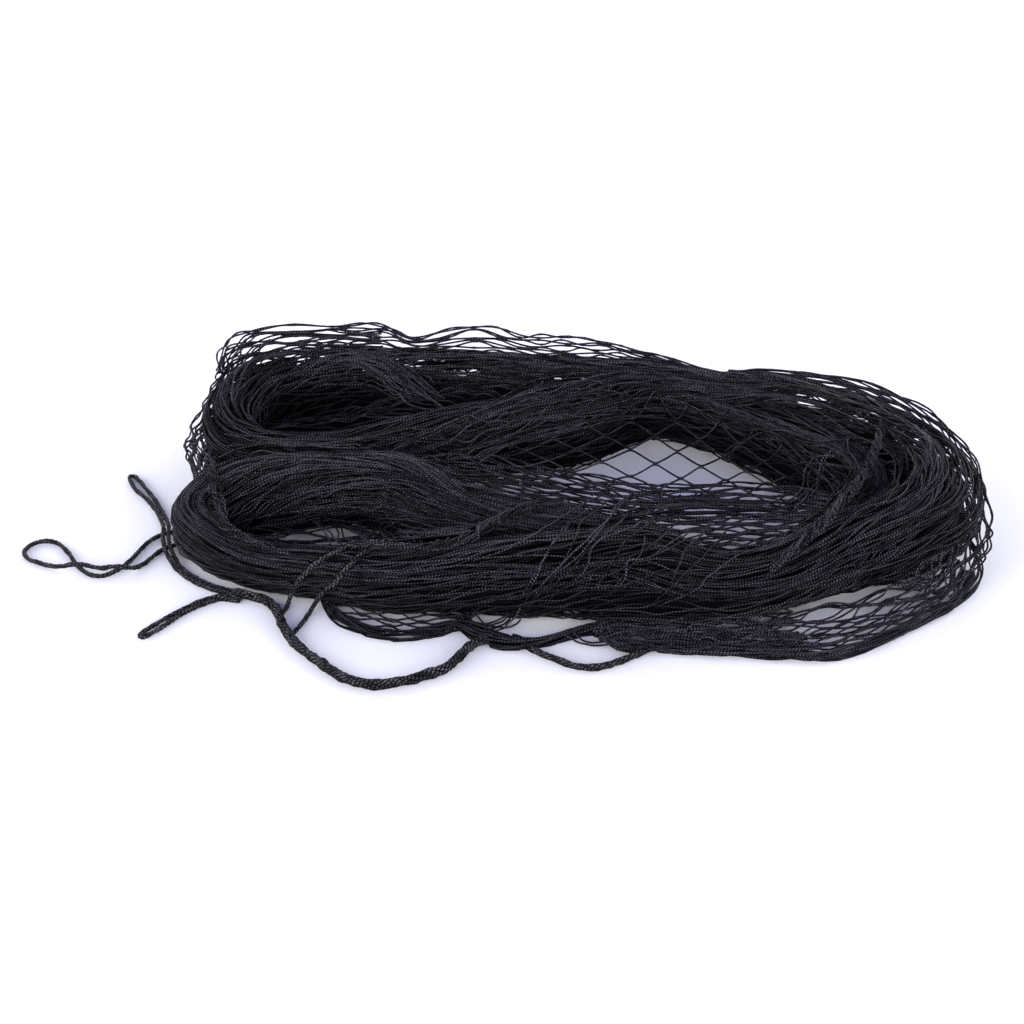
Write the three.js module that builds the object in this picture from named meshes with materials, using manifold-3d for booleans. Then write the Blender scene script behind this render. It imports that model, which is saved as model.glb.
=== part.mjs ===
// Baseball backstop net: black twine netting gathered into a rope of strands and laid as a flat hank,
// with the open meshes that spread from it and the lacing cords that run out at its left and front.
// Millimetres, +Z up. The hank rests on Z = 0 with its length along X and its front towards -Y.
import * as THREE from 'three';
import { mergeVertices } from 'three/addons/utils/BufferGeometryUtils.js';
import Module from 'manifold-3d';

// Middle of the netting's footprint in the lay tables below, which becomes the origin.
const LAY_MIDDLE = { x: -8.05, y: 25.5 };

// Twine and cords
const TWINE_DIAMETER = 2.4;
const LACING_DIAMETER = 5;
const FRONT_CORD_DIAMETER = 10;
const BORDER_DIAMETER = 7;
const CLEARANCE = 0.3;

// Gathered runs
const THICK_RUN = { ringPoints: 15, ridges: 5 };
const THIN_RUN = { ringPoints: 6, ridges: 2 };
const STEPS_PER_ROW = 2;
const RIDGE_DEPTH = 0.1;
const TWIST_LENGTH = 620;
const SETTLE = 4;
const CAP_REACH = 12;
const CAP_WIDTH = 48;
const CAP_SCALE = 0.8;
const SLAB = { span: 2000, depth: 100 };

// Open meshes
const MESH_BAR = 3.2;
const SMALLEST_GAP = 4;

const NET_COLOUR = 0x26262a;
const CORD_COLOUR = 0x2c2c30;

const wasm = await Module();
wasm.setup();

function table(columns, rows) {
  return rows.map((row) => Object.fromEntries(columns.map((column, k) => [column, row[k]])));
}

// The hank is one closed circuit of a doubled rope of netting: along the front, round the right end,
// back along the rear, round the upper left end, forward again on the inside and round the lower left.
const RUN_COLUMNS = ['x', 'y', 'width', 'height'];

const frontRun = table(RUN_COLUMNS, [
  [-391, -18, 48, 58],
  [-366, -48, 42, 50],
  [-322, -70, 44, 42],
  [-262, -94, 60, 46],
  [-190, -111, 76, 52],
  [-108, -113, 90, 60],
  [-26, -113, 106, 66],
  [57, -117, 118, 70],
  [119, -113, 106, 66],
  [180, -102, 96, 66],
  [245, -88, 94, 74],
  [305, -62, 94, 82],
  [342, -18, 92, 90],
  [344, 45, 90, 94],
  [302, 105, 84, 96],
]);

const rearRun = table(RUN_COLUMNS, [
  [302, 105, 84, 96],
  [235, 165, 80, 94],
  [140, 208, 74, 86],
  [57, 243, 68, 86],
  [-26, 244, 62, 98],
  [-108, 244, 58, 106],
  [-190, 244, 56, 110],
  [-263, 242, 56, 110],
  [-328, 228, 58, 106],
  [-368, 190, 62, 98],
  [-378, 140, 62, 86],
]);

const thirdRun = table(RUN_COLUMNS, [
  [-378, 140, 62, 86],
  [-342, 100, 76, 74],
  [-263, 96, 84, 66],
  [-190, 112, 84, 68],
  [-108, 134, 84, 74],
  [-26, 172, 80, 78],
  [40, 216, 72, 78],
  [110, 206, 70, 78],
  [180, 168, 70, 76],
  [238, 112, 68, 76],
  [272, 55, 64, 74],
  [278, 8, 62, 68],
]);

const secondRun = table(RUN_COLUMNS, [
  [278, 8, 62, 68],
  [252, -38, 64, 62],
  [190, -52, 76, 56],
  [119, -50, 80, 54],
  [57, -42, 84, 54],
  [-26, -18, 92, 60],
  [-108, 12, 100, 68],
  [-190, 34, 106, 74],
  [-263, 42, 106, 74],
  [-335, 32, 100, 74],
  [-376, 10, 72, 66],
  [-391, -18, 48, 58],
]);

// Netting that has sunk between the runs, the shelf of it behind the second run, the corner drawn
// together in front, and the hems where the lowest edge lies gathered on the floor.
const sunkenFold = table(RUN_COLUMNS, [
  [-345, 160, 70, 34],
  [-263, 166, 88, 36],
  [-190, 176, 88, 40],
  [-108, 190, 80, 44],
  [-40, 206, 70, 44],
]);

const innerShelf = table(RUN_COLUMNS, [
  [276, 10, 76, 62],
  [232, 28, 112, 56],
  [186, 26, 102, 50],
  [120, 14, 82, 48],
  [55, 10, 66, 48],
  [-10, 24, 60, 54],
  [-66, 40, 50, 60],
]);

const drawnCorner = table(RUN_COLUMNS, [
  [-122, -160, 18, 12],
  [-106, -175, 28, 16],
  [-91, -187, 34, 18],
  [-72, -193, 26, 18],
  [-49, -186, 18, 15],
  [-29, -177, 16, 14],
  [-10, -170, 20, 15],
  [18, -164, 26, 18],
]);

const frontHem = table(RUN_COLUMNS, [
  [-254, -126, 12, 14],
  [-236, -157, 12, 12],
  [-210, -174, 13, 12],
  [-181, -182, 13, 12],
  [-153, -176, 13, 12],
  [-120, -163, 14, 13],
]);

const skirtHem = table(RUN_COLUMNS, [
  [57, -205, 12, 12],
  [101, -210, 14, 12],
  [140, -214, 14, 12],
  [175, -217, 14, 12],
  [222, -222, 14, 12],
  [250, -211, 14, 12],
  [272, -194, 14, 12],
  [315, -160, 14, 12],
  [355, -124, 14, 13],
]);

// Spread netting: a low and a high edge, station by station, with the rows of meshes between them.
const SPREAD_COLUMNS = ['xLow', 'yLow', 'zLow', 'xHigh', 'yHigh', 'zHigh'];

const rearVeil = table(SPREAD_COLUMNS, [
  [-366, 184, 84, -390, 204, 92],
  [-350, 212, 90, -385, 241, 105],
  [-322, 232, 94, -352, 261, 115],
  [-265, 244, 98, -266, 267, 116],
  [-190, 246, 98, -190, 268, 116],
  [-132, 246, 94, -132, 262, 106],
  [-92, 246, 94, -92, 268, 115],
  [-45, 246, 88, -45, 262, 104],
  [10, 246, 82, 10, 260, 100],
  [60, 244, 72, 60, 254, 90],
]);

const rightRim = table(SPREAD_COLUMNS, [
  [150, 196, 70, 158, 212, 88],
  [215, 178, 78, 226, 200, 92],
  [270, 145, 82, 294, 180, 90],
  [312, 112, 82, 354, 131, 84],
  [335, 70, 80, 390, 84, 69],
  [352, 25, 72, 402, 27, 57],
  [356, -25, 60, 402, -37, 42],
  [346, -66, 44, 394, -66, 29],
  [324, -90, 28, 382, -91, 16],
  [296, -106, 12, 358, -120, 6],
]);

const leftFlank = table(SPREAD_COLUMNS, [
  [-380, 22, 56, -397, 36, 50],
  [-378, 56, 52, -412, 84, 50],
  [-378, 96, 56, -420, 128, 50],
  [-374, 132, 66, -416, 172, 56],
  [-368, 176, 84, -398, 204, 84],
]);

const frontSkirt = table(SPREAD_COLUMNS, [
  [-6, -190, 4, -14, -170, 8],
  [21, -216, 4, 10, -160, 10],
  [56, -206, 4, 52, -158, 10],
  [101, -210, 4, 104, -152, 12],
  [175, -217, 4, 166, -142, 12],
  [222, -222, 4, 216, -128, 12],
  [272, -194, 4, 265, -116, 14],
  [315, -160, 4, 302, -104, 16],
  [355, -124, 6, 330, -86, 20],
]);

const frontEdge = table(SPREAD_COLUMNS, [
  [-254, -128, 5, -250, -112, 12],
  [-236, -157, 4, -226, -118, 12],
  [-210, -174, 4, -198, -124, 12],
  [-181, -182, 4, -168, -128, 12],
  [-153, -176, 4, -138, -130, 12],
  [-120, -163, 5, -108, -130, 12],
]);

const centreWeb = table(SPREAD_COLUMNS, [
  [-140, 34, 60, -120, 122, 62],
  [-80, 36, 54, -60, 140, 60],
  [-20, 32, 48, 0, 172, 56],
  [50, 22, 42, 60, 196, 52],
  [110, 26, 42, 110, 190, 52],
  [160, 36, 44, 160, 164, 54],
  [205, 44, 48, 205, 132, 56],
]);

const valleyWeb = table(SPREAD_COLUMNS, [
  [-335, -66, 22, -345, -4, 24],
  [-275, -84, 26, -275, 0, 24],
  [-205, -96, 30, -205, -6, 24],
  [-140, -96, 32, -140, -24, 26],
  [-90, -90, 36, -90, -30, 30],
]);

// Border rope of the netting where it lies over the runs
const ROUTE_COLUMNS = ['x', 'y', 'z'];

const leftBorder = table(ROUTE_COLUMNS, [
  [-376, 66, 62],
  [-376, 24, 60],
  [-366, -16, 52],
  [-340, -50, 36],
  [-318, -62, 30],
  [-270, -66, 28],
  [-205, -62, 30],
  [-165, -58, 34],
  [-128, -44, 42],
  [-95, -24, 56],
  [-66, 0, 60],
]);

const rightBorder = table(ROUTE_COLUMNS, [
  [298, 104, 92],
  [290, 66, 86],
  [284, 34, 74],
  [270, 10, 66],
]);

// Free cords, each along points chosen on its centre line
const loopRoute = table(ROUTE_COLUMNS, [
  [-398, 8, 8],
  [-412, 14, 3.5],
  [-427, 10, 2.7],
  [-441, -6, 2.7],
  [-450, -28, 2.7],
  [-457, -47, 2.7],
  [-466, -62, 2.7],
  [-478, -72, 2.7],
  [-490, -71, 2.7],
  [-501, -61, 2.7],
  [-511, -46, 2.7],
  [-520, -28, 2.7],
  [-533, -10, 2.7],
  [-547, -5, 2.7],
  [-559, -12, 2.7],
  [-564, -26, 2.7],
  [-558, -40, 2.7],
  [-547, -47, 2.7],
  [-535, -53, 2.7],
  [-523, -58, 5],
  [-512, -60, 8],
  [-501, -61, 8.7],
  [-491, -61, 6],
  [-481, -62, 5],
  [-471, -64, 8.2],
  [-461, -65, 8.7],
  [-450, -61, 5],
  [-442, -51, 2.7],
  [-435, -38, 2.7],
  [-427, -24, 2.7],
  [-418, -15, 2.7],
  [-410, -12, 3.5],
  [-398, -10, 8],
]);

const TAIL_COLUMNS = ['x', 'y', 'z', 'spread'];

const upperTail = table(TAIL_COLUMNS, [
  [-477, 127, 2.7, 2.9],
  [-471, 115, 2.7, 4.6],
  [-464, 101, 2.7, 4.9],
  [-450, 78, 2.7, 3.4],
  [-439, 55, 2.7, 2.7],
  [-431, 31, 5.5, 2.7],
  [-426, 11, 8.6, 2.7],
  [-424, -8, 8.6, 2.7],
  [-421, -24, 8.6, 2.7],
  [-415, -40, 5.5, 2.7],
  [-406, -57, 2.7, 2.7],
  [-391, -76, 2.7, 2.7],
  [-372, -92, 2.7, 2.7],
  [-352, -102, 2.7, 2.7],
  [-331, -111.5, 2.7, 2.7],
]);

const lowerTail = table(TAIL_COLUMNS, [
  [-425, -180, 2.7, 2.9],
  [-416, -169, 2.7, 4.2],
  [-404, -153, 2.7, 3.8],
  [-392, -138, 2.7, 2.9],
  [-380, -126, 2.7, 2.7],
  [-368, -117.5, 2.7, 2.7],
  [-355.5, -112.4, 2.7, 2.7],
  [-338, -120.4, 2.7, 2.7],
]);

const frontRoute = table(ROUTE_COLUMNS, [
  [-328.5, -113, 5.2],
  [-316, -120, 5.2],
  [-305, -132, 5.2],
  [-298, -150, 5.2],
  [-291, -172, 5.2],
  [-280, -196, 5.2],
  [-265, -217, 5.2],
  [-250, -234, 5.2],
  [-234, -252, 5.2],
  [-216, -263, 5.2],
  [-198, -267, 5.2],
  [-174, -261, 5.2],
  [-152, -250, 5.2],
  [-134, -237, 5.2],
  [-121, -214, 5.2],
  [-109, -197, 5.2],
  [-96, -188, 5.4],
]);

const skirtRoute = table(ROUTE_COLUMNS, [
  [-72, -190, 5],
  [-64, -198, 3.7],
  [-55, -207, 3.7],
  [-44, -216, 3.7],
  [-30, -226, 3.7],
  [-17, -234, 3.7],
  [-3, -237, 3.7],
  [11, -234, 3.7],
  [26, -226, 3.7],
  [41, -215, 3.7],
  [55, -206, 3.7],
]);

const leftCrossRoute = table(ROUTE_COLUMNS, [
  [-292, -134, 2.7],
  [-292, -126, 3],
  [-290, -119, 7],
  [-286, -119, 16],
  [-283, -119.5, 23],
  [-276, -119.5, 31.5],
  [-263, -112.5, 41.5],
  [-250, -103.5, 45.5],
  [-239, -92, 45],
  [-230, -80, 41],
]);

const rightCrossRoute = table(ROUTE_COLUMNS, [
  [-279, -178, 2.7],
  [-275, -156, 2.7],
  [-269, -138, 3],
  [-264, -131, 9],
  [-257, -132, 20],
  [-245, -133, 31.5],
  [-234.5, -125, 42],
  [-223.5, -112.5, 47.4],
  [-212.5, -98, 47.6],
  [-201, -84, 44],
]);

function solidFrom(geometry) {
  const bare = geometry.clone();
  bare.deleteAttribute('normal');
  bare.deleteAttribute('uv');
  const merged = mergeVertices(bare, 1e-4);
  const mesh = new wasm.Mesh({
    numProp: 3,
    vertProperties: new Float32Array(merged.attributes.position.array),
    triVerts: new Uint32Array(merged.index.array),
  });
  return new wasm.Manifold(mesh);
}

function geometryFrom(solid) {
  const mesh = solid.getMesh();
  const geometry = new THREE.BufferGeometry();
  geometry.setAttribute('position', new THREE.BufferAttribute(mesh.vertProperties, 3));
  geometry.setIndex(new THREE.BufferAttribute(mesh.triVerts, 1));
  geometry.computeVertexNormals();
  return geometry;
}

function facets(points, triangles) {
  const geometry = new THREE.BufferGeometry();
  geometry.setAttribute('position', new THREE.Float32BufferAttribute(points.flatMap((p) => p.toArray()), 3));
  geometry.setIndex(triangles);
  return geometry;
}

function largestBody(solid) {
  const bodies = solid.decompose();
  return bodies.reduce((best, body) => (body.volume() > best.volume() ? body : best));
}

function smoothCurve(points) {
  return new THREE.CatmullRomCurve3(points, false, 'catmullrom', 0.5);
}

// A gathered run: a ridged oval section that turns slowly as it follows the rows.
function gatheredRun({ rows, ringPoints, ridges }) {
  const spine = smoothCurve(rows.map((row) => new THREE.Vector3(row.x, row.y, row.height / 2 - SETTLE)));
  const girth = smoothCurve(rows.map((row) => new THREE.Vector3(row.width / 2, row.height / 2, 0)));
  const steps = (rows.length - 1) * STEPS_PER_ROW;
  const length = spine.getLength();
  const points = [];

  function ring(t, reach, scale) {
    const middle = spine.getPoint(t);
    const along = spine.getTangent(t).setZ(0).normalize();
    const side = new THREE.Vector3(-along.y, along.x, 0);
    const size = girth.getPoint(t);
    const turn = 2 * Math.PI * t * length / TWIST_LENGTH;
    middle.addScaledVector(along, reach);
    for (let k = 0; k < ringPoints; k += 1) {
      const angle = 2 * Math.PI * k / ringPoints;
      const ridge = scale * (1 + RIDGE_DEPTH * Math.cos(ridges * angle - turn));
      const point = middle.clone().addScaledVector(side, Math.cos(angle) * size.x * ridge);
      point.z += Math.sin(angle) * size.y * ridge;
      points.push(point);
    }
  }

  const capReach = CAP_REACH * Math.min(1, rows[0].width / CAP_WIDTH);
  ring(0, -capReach, CAP_SCALE);
  for (let k = 0; k <= steps; k += 1) {
    ring(k / steps, 0, 1);
  }
  ring(1, capReach, CAP_SCALE);

  const rings = points.length / ringPoints;
  const triangles = [];
  for (let r = 0; r < rings - 1; r += 1) {
    for (let k = 0; k < ringPoints; k += 1) {
      const next = (k + 1) % ringPoints;
      const [a, b] = [r * ringPoints + k, r * ringPoints + next];
      triangles.push(a, b, a + ringPoints, b, b + ringPoints, a + ringPoints);
    }
  }
  const lastRing = (rings - 1) * ringPoints;
  for (let k = 1; k < ringPoints - 1; k += 1) {
    triangles.push(0, k + 1, k);
    triangles.push(lastRing, lastRing + k, lastRing + k + 1);
  }
  return solidFrom(facets(points, triangles));
}

// Spread netting: a sheet one twine thick with a hole in each diamond mesh. Knots lie at the grid
// points where i + j is even, and each mesh is centred on a point where i + j is odd.
function spreadNet(rows, { meshesAlong, meshesAcross, sag = 0 }) {
  const lowEdge = smoothCurve(rows.map((row) => new THREE.Vector3(row.xLow, row.yLow, row.zLow)));
  const highEdge = smoothCurve(rows.map((row) => new THREE.Vector3(row.xHigh, row.yHigh, row.zHigh)));
  const iEnd = 2 * meshesAlong;
  const jEnd = 2 * meshesAcross;
  const points = [];
  const triangles = [];
  const knots = new Map();

  function place(u, v) {
    const point = lowEdge.getPoint(u).lerp(highEdge.getPoint(u), v);
    point.z -= sag * 4 * v * (1 - v);
    return point;
  }

  function normalAt(u, v) {
    const reach = 0.01;
    const along = place(Math.min(u + reach, 1), v).sub(place(Math.max(u - reach, 0), v));
    const across = place(u, Math.min(v + reach, 1)).sub(place(u, Math.max(v - reach, 0)));
    return along.cross(across).normalize();
  }

  function addPair(point, normal) {
    points.push(point.clone().addScaledVector(normal, TWINE_DIAMETER / 2));
    points.push(point.clone().addScaledVector(normal, -TWINE_DIAMETER / 2));
    return points.length - 2;
  }

  function knot(i, j) {
    const key = `${i},${j}`;
    if (!knots.has(key)) {
      const [u, v] = [i / iEnd, j / jEnd];
      knots.set(key, addPair(place(u, v), normalAt(u, v)));
    }
    return knots.get(key);
  }

  // Each entry is the index of a point on the upper face; the next index is the point below it.
  function wall(from, to) {
    triangles.push(from, from + 1, to, to, from + 1, to + 1);
  }

  function mesh(corners, u, v) {
    const count = corners.length;
    const outer = corners.map(([i, j]) => knot(i, j));
    const normal = normalAt(u, v);
    const flat = corners.map(([i, j]) => place(i / iEnd, j / jEnd));
    const middle = flat.reduce((sum, p) => sum.add(p), new THREE.Vector3()).divideScalar(count);
    const reach = Math.min(...flat.map((p, k) => {
      const edge = new THREE.Line3(p, flat[(k + 1) % count]);
      return edge.closestPointToPoint(middle, true, new THREE.Vector3()).distanceTo(middle);
    }));
    const open = reach - MESH_BAR / 2;
    if (open * 2 < SMALLEST_GAP) {
      for (let k = 1; k < count - 1; k += 1) {
        triangles.push(outer[0], outer[k], outer[k + 1]);
        triangles.push(outer[0] + 1, outer[k + 1] + 1, outer[k] + 1);
      }
      return;
    }
    const inner = flat.map((p) => addPair(p.sub(middle).multiplyScalar(open / reach).add(middle), normal));
    for (let k = 0; k < count; k += 1) {
      const next = (k + 1) % count;
      triangles.push(outer[k], outer[next], inner[k], inner[k], outer[next], inner[next]);
      triangles.push(outer[k] + 1, inner[k] + 1, outer[next] + 1);
      triangles.push(inner[k] + 1, inner[next] + 1, outer[next] + 1);
      wall(inner[next], inner[k]);
    }
  }

  for (let i = 0; i <= iEnd; i += 1) {
    for (let j = (i + 1) % 2; j <= jEnd; j += 2) {
      const around = [[i - 1, j], [i, j - 1], [i + 1, j], [i, j + 1]];
      const corners = around.filter(([p, q]) => p >= 0 && p <= iEnd && q >= 0 && q <= jEnd);
      mesh(corners, i / iEnd, j / jEnd);
    }
  }
  for (let i = 0; i < iEnd; i += 2) {
    wall(knot(i, 0), knot(i + 2, 0));
    wall(knot(i + 2, jEnd), knot(i, jEnd));
  }
  for (let j = 0; j < jEnd; j += 2) {
    wall(knot(iEnd, j), knot(iEnd, j + 2));
    wall(knot(0, j + 2), knot(0, j));
  }
  return solidFrom(facets(points, triangles));
}

function tube({ points, diameter, sides, steps }) {
  const section = new THREE.Shape();
  for (let k = 0; k < sides; k += 1) {
    const angle = 2 * Math.PI * (k + 0.5) / sides;
    const spot = [Math.cos(angle) * diameter / 2, Math.sin(angle) * diameter / 2];
    if (k === 0) {
      section.moveTo(...spot);
    } else {
      section.lineTo(...spot);
    }
  }
  section.closePath();
  const extrudePath = smoothCurve(points);
  return solidFrom(new THREE.ExtrudeGeometry(section, { steps, extrudePath, bevelEnabled: false }));
}

function alongRoute(rows) {
  return rows.map((row) => new THREE.Vector3(row.x, row.y, row.z));
}

// A tail is a cord laid double: out along one side of its rows, round the tip and back on the other.
function doubledRoute(rows) {
  const middle = smoothCurve(alongRoute(rows));
  const last = rows.length - 1;

  function offset(k, sign) {
    const along = middle.getTangent(k / last).setZ(0).normalize();
    const point = new THREE.Vector3(rows[k].x, rows[k].y, rows[k].z);
    return point.add(new THREE.Vector3(-along.y, along.x, 0).multiplyScalar(sign * rows[k].spread));
  }

  const outward = rows.map((row, k) => offset(last - k, 1));
  const inward = rows.map((row, k) => offset(k, -1));
  const along = middle.getTangent(0).setZ(0).normalize();
  const tip = alongRoute(rows.slice(0, 1))[0].addScaledVector(along, -rows[0].spread);
  return [...outward, tip, ...inward];
}

function slabBelowFloor() {
  const slab = new THREE.BoxGeometry(SLAB.span, SLAB.span, SLAB.depth);
  slab.translate(0, 0, -SLAB.depth / 2);
  return solidFrom(slab);
}

const cordPlans = [
  { name: 'loop_cord', points: alongRoute(loopRoute), diameter: LACING_DIAMETER, sides: 8, steps: 44 },
  { name: 'upper_tail_cord', points: doubledRoute(upperTail), diameter: LACING_DIAMETER, sides: 8, steps: 54 },
  { name: 'lower_tail_cord', points: doubledRoute(lowerTail), diameter: LACING_DIAMETER, sides: 8, steps: 22 },
  { name: 'front_cord', points: alongRoute(frontRoute), diameter: FRONT_CORD_DIAMETER, sides: 10, steps: 24 },
  { name: 'skirt_cord', points: alongRoute(skirtRoute), diameter: BORDER_DIAMETER, sides: 8, steps: 14 },
  { name: 'left_cross_cord', points: alongRoute(leftCrossRoute), diameter: LACING_DIAMETER, sides: 8, steps: 12 },
  { name: 'right_cross_cord', points: alongRoute(rightCrossRoute), diameter: LACING_DIAMETER, sides: 8, steps: 12 },
];

function buildNet() {
  const thick = [frontRun, rearRun, thirdRun, secondRun, sunkenFold, innerShelf];
  const thin = [drawnCorner, frontHem, skirtHem];
  const runs = [
    ...thick.map((rows) => gatheredRun({ rows, ...THICK_RUN })),
    ...thin.map((rows) => gatheredRun({ rows, ...THIN_RUN })),
  ];
  const sheets = [
    spreadNet(rearVeil, { meshesAlong: 6, meshesAcross: 2 }),
    spreadNet(rightRim, { meshesAlong: 7, meshesAcross: 1 }),
    spreadNet(leftFlank, { meshesAlong: 3, meshesAcross: 1 }),
    spreadNet(frontSkirt, { meshesAlong: 6, meshesAcross: 2 }),
    spreadNet(frontEdge, { meshesAlong: 3, meshesAcross: 1 }),
    spreadNet(centreWeb, { meshesAlong: 5, meshesAcross: 2, sag: 6 }),
    spreadNet(valleyWeb, { meshesAlong: 3, meshesAcross: 2, sag: 8 }),
  ];
  const borders = [
    tube({ points: alongRoute(leftBorder), diameter: BORDER_DIAMETER, sides: 6, steps: 13 }),
    tube({ points: alongRoute(rightBorder), diameter: BORDER_DIAMETER, sides: 6, steps: 5 }),
  ];
  let net = [...runs, ...sheets, ...borders].reduce((whole, piece) => whole.add(piece));
  net = net.subtract(slabBelowFloor());
  for (const plan of cordPlans) {
    net = net.subtract(tube({ ...plan, diameter: plan.diameter + 2 * CLEARANCE }));
  }
  return largestBody(net);
}

function named(name, solid, colour) {
  const material = new THREE.MeshStandardMaterial({ color: colour, roughness: 0.85, metalness: 0 });
  const mesh = new THREE.Mesh(geometryFrom(solid), material);
  mesh.name = name;
  return mesh;
}

const hank = new THREE.Group();
hank.position.set(-LAY_MIDDLE.x, -LAY_MIDDLE.y, 0);
hank.add(named('net', buildNet(), NET_COLOUR));
for (const plan of cordPlans) {
  hank.add(named(plan.name, tube(plan), CORD_COLOUR));
}

export default hank;
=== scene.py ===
"""Baseball backstop net: the looks of a black net laid as a hank, with its open meshes and loose cords.

Tables are in the lay's millimetres, as in the part's source. Meshes are made in metres, in the part's frame.
"""
import math
from functools import lru_cache

import bpy
import numpy as np
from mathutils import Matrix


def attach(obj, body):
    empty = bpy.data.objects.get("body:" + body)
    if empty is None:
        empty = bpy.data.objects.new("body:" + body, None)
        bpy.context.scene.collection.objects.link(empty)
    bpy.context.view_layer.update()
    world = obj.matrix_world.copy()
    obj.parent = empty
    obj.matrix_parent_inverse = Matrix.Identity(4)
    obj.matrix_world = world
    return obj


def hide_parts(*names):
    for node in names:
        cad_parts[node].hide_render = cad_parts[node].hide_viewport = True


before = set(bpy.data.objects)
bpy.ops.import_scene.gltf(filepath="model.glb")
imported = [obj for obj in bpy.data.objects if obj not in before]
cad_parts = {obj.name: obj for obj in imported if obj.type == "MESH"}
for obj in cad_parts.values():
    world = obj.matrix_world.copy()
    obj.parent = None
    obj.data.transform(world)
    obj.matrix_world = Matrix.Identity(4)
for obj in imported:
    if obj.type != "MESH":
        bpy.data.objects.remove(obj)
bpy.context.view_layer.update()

bl_info = {
    "name": "Net hank",
    "version": (1, 0, 0),
    "blender": (4, 5, 0),
    "location": "View3D > Sidebar > Net hank",
    "description": "Builds a knotless net gathered into a hank, its open meshes and its loose cords",
    "category": "Object",
}

# Middle of the netting's footprint in the lay tables
LAY_MIDDLE = np.array([-8.05, 25.5, 0.0])
TO_METRES = 0.001
TO_MILLIMETRES = 1000.0

# Runs: how far a section settles on its flat underside, and its packed inside's sides, step and floor
SETTLE = 4.0
CORE_SIDES = 48
CORE_STEP = 16.0
CORE_FLOOR = 0.3

# Strands of the runs: how many draw together, how dense they are on top and how far they wander
CLUMP_STRANDS = 5
CLUMP_CYCLES = 23
TOP_DENSITY = 0.36
WIGGLE = 0.11
WAVE_BARS = 60
ROUGH_TURN = 6.28
BURIED_LIFT = 0.07
BURIED_LIMIT = 0.93

# Waves of all strands of a run: lobes round the section, cycles along the circuit and size
RUN_WAVES = ((1, 4, 0.2), (2, 7, 0.12), (3, -11, 0.08), (5, 17, 0.04), (9, -29, 0.02))

# Waves of single strands of a run and of a border bundle: cycles along it and size
STRAND_WAVES = ((4, 0.4), (9, 0.4), (17, 0.4), (37, 0.4), (61, 0.3))
BUNDLE_WAVES = ((2, 0.1), (5, 0.1), (11, 0.06))

# Samples along the strands, and the twine that one tile of the lay map covers
SAMPLES_PER_BAR = 5
FOLD_SAMPLES_PER_BAR = 7
SPREAD_SAMPLES_PER_BAR = 8
FAN_SAMPLES = 48
SHEET_SAMPLES = 40
STRAY_SAMPLES = 56
TRACK_STEPS = 240
BUNDLE_STEP = 6
BEAD_TILE = 24.0

# Sides of the tubes that stand for twine and cord
SLACK_SIDES = 4
LOOSE_SIDES = 5
ROUND_SIDES = 6

# How light fans, borders and sheets are beside the runs, and how thick a fan's strand is beside slack twine
PLAIN_SHADE = 1.0
SHEET_SHADE = 1.1
FAN_THICKNESS = 1.1

# Cords: strands in each, pitch in diameters, step along the route, room round it and height of a lifted one
CORD_STRANDS = {"lacing": 4, "front_cord": 7, "skirt_cord": 5}
CORD_PITCH = 4.5
CORD_STEP = 2.5
CORD_ROOM = 0.2
LIFTED_CORD = 9
PUSHED_DOWN = 0.6

# Grid of the runs' heights over the lay
GRID_STEP = 3.0
GRID_CORNER = np.array([-480.0, -300.0])
GRID_SIZE = (310, 210)

# Spread netting that rests on the runs: its lift above them and the rounds that let it bridge hollows
REST_LIFT = 0.4
REST_ROUNDS = 6

# Yarn: scale of its fibres and worn patches, sharpness of the painted highlights on its plies and of the
# painted light on its upper side, and contrast
FIBRE_SCALE = 900.0
PATCH_SCALE = 26.0
PLY_SHARPNESS = 2.6
TOP_SHARPNESS = 2.2
YARN_CONTRAST = 1.35
STRAND_STEP = 311.0

# Sockets of a mix node that mixes colours
MIX_FIRST = 6
MIX_SECOND = 7
MIX_RESULT = 2

# Camera at the photo's angle, and the floor's reach in metres
CAMERA_AIM = np.array([-75.0, 58.0, 0.0])
CAMERA_TILT = math.radians(30)
CAMERA_DISTANCE = 2.5
CAMERA_LENS = 85
CAMERA_SENSOR = 36
FLOOR_REACH = 8.0

# Gathered runs: x, y, width and height of each section, and how far it hangs off the floor
FRONT_RUN = [
    (-391, -18, 48, 58, 0), (-366, -51, 47, 50, 0), (-322, -77, 52, 42, 0), (-262, -95, 61, 46, 0),
    (-190, -112, 77, 52, 0), (-108, -113, 90, 60, 0), (-26, -113, 106, 66, 0), (57, -117, 118, 70, 0),
    (119, -120, 90, 50, 0), (180, -109, 80, 45, 3), (245, -84, 86, 64, 6), (305, -57, 90, 80, 3),
    (342, -18, 92, 90, 0), (344, 45, 90, 94, 0), (302, 105, 84, 96, 0),
]
REAR_RUN = [
    (302, 105, 84, 96, 0), (235, 165, 80, 94, 0), (140, 208, 74, 84, 0), (57, 243, 68, 80, 0),
    (-26, 244, 62, 86, 0), (-108, 244, 58, 92, 0), (-190, 244, 56, 94, 0), (-263, 242, 56, 96, 0),
    (-326, 228, 58, 98, 0), (-362, 190, 58, 98, 0), (-373, 140, 58, 86, 0),
]
THIRD_RUN = [
    (-373, 140, 58, 86, 0), (-342, 100, 76, 74, 0), (-263, 98, 82, 66, 0), (-190, 118, 78, 66, 4),
    (-108, 150, 72, 62, 14), (-26, 176, 74, 62, 16), (40, 220, 70, 66, 12), (110, 210, 68, 68, 10),
    (180, 165, 78, 70, 6), (238, 106, 80, 76, 0), (272, 52, 70, 74, 0), (278, 8, 62, 68, 0),
]
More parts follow.
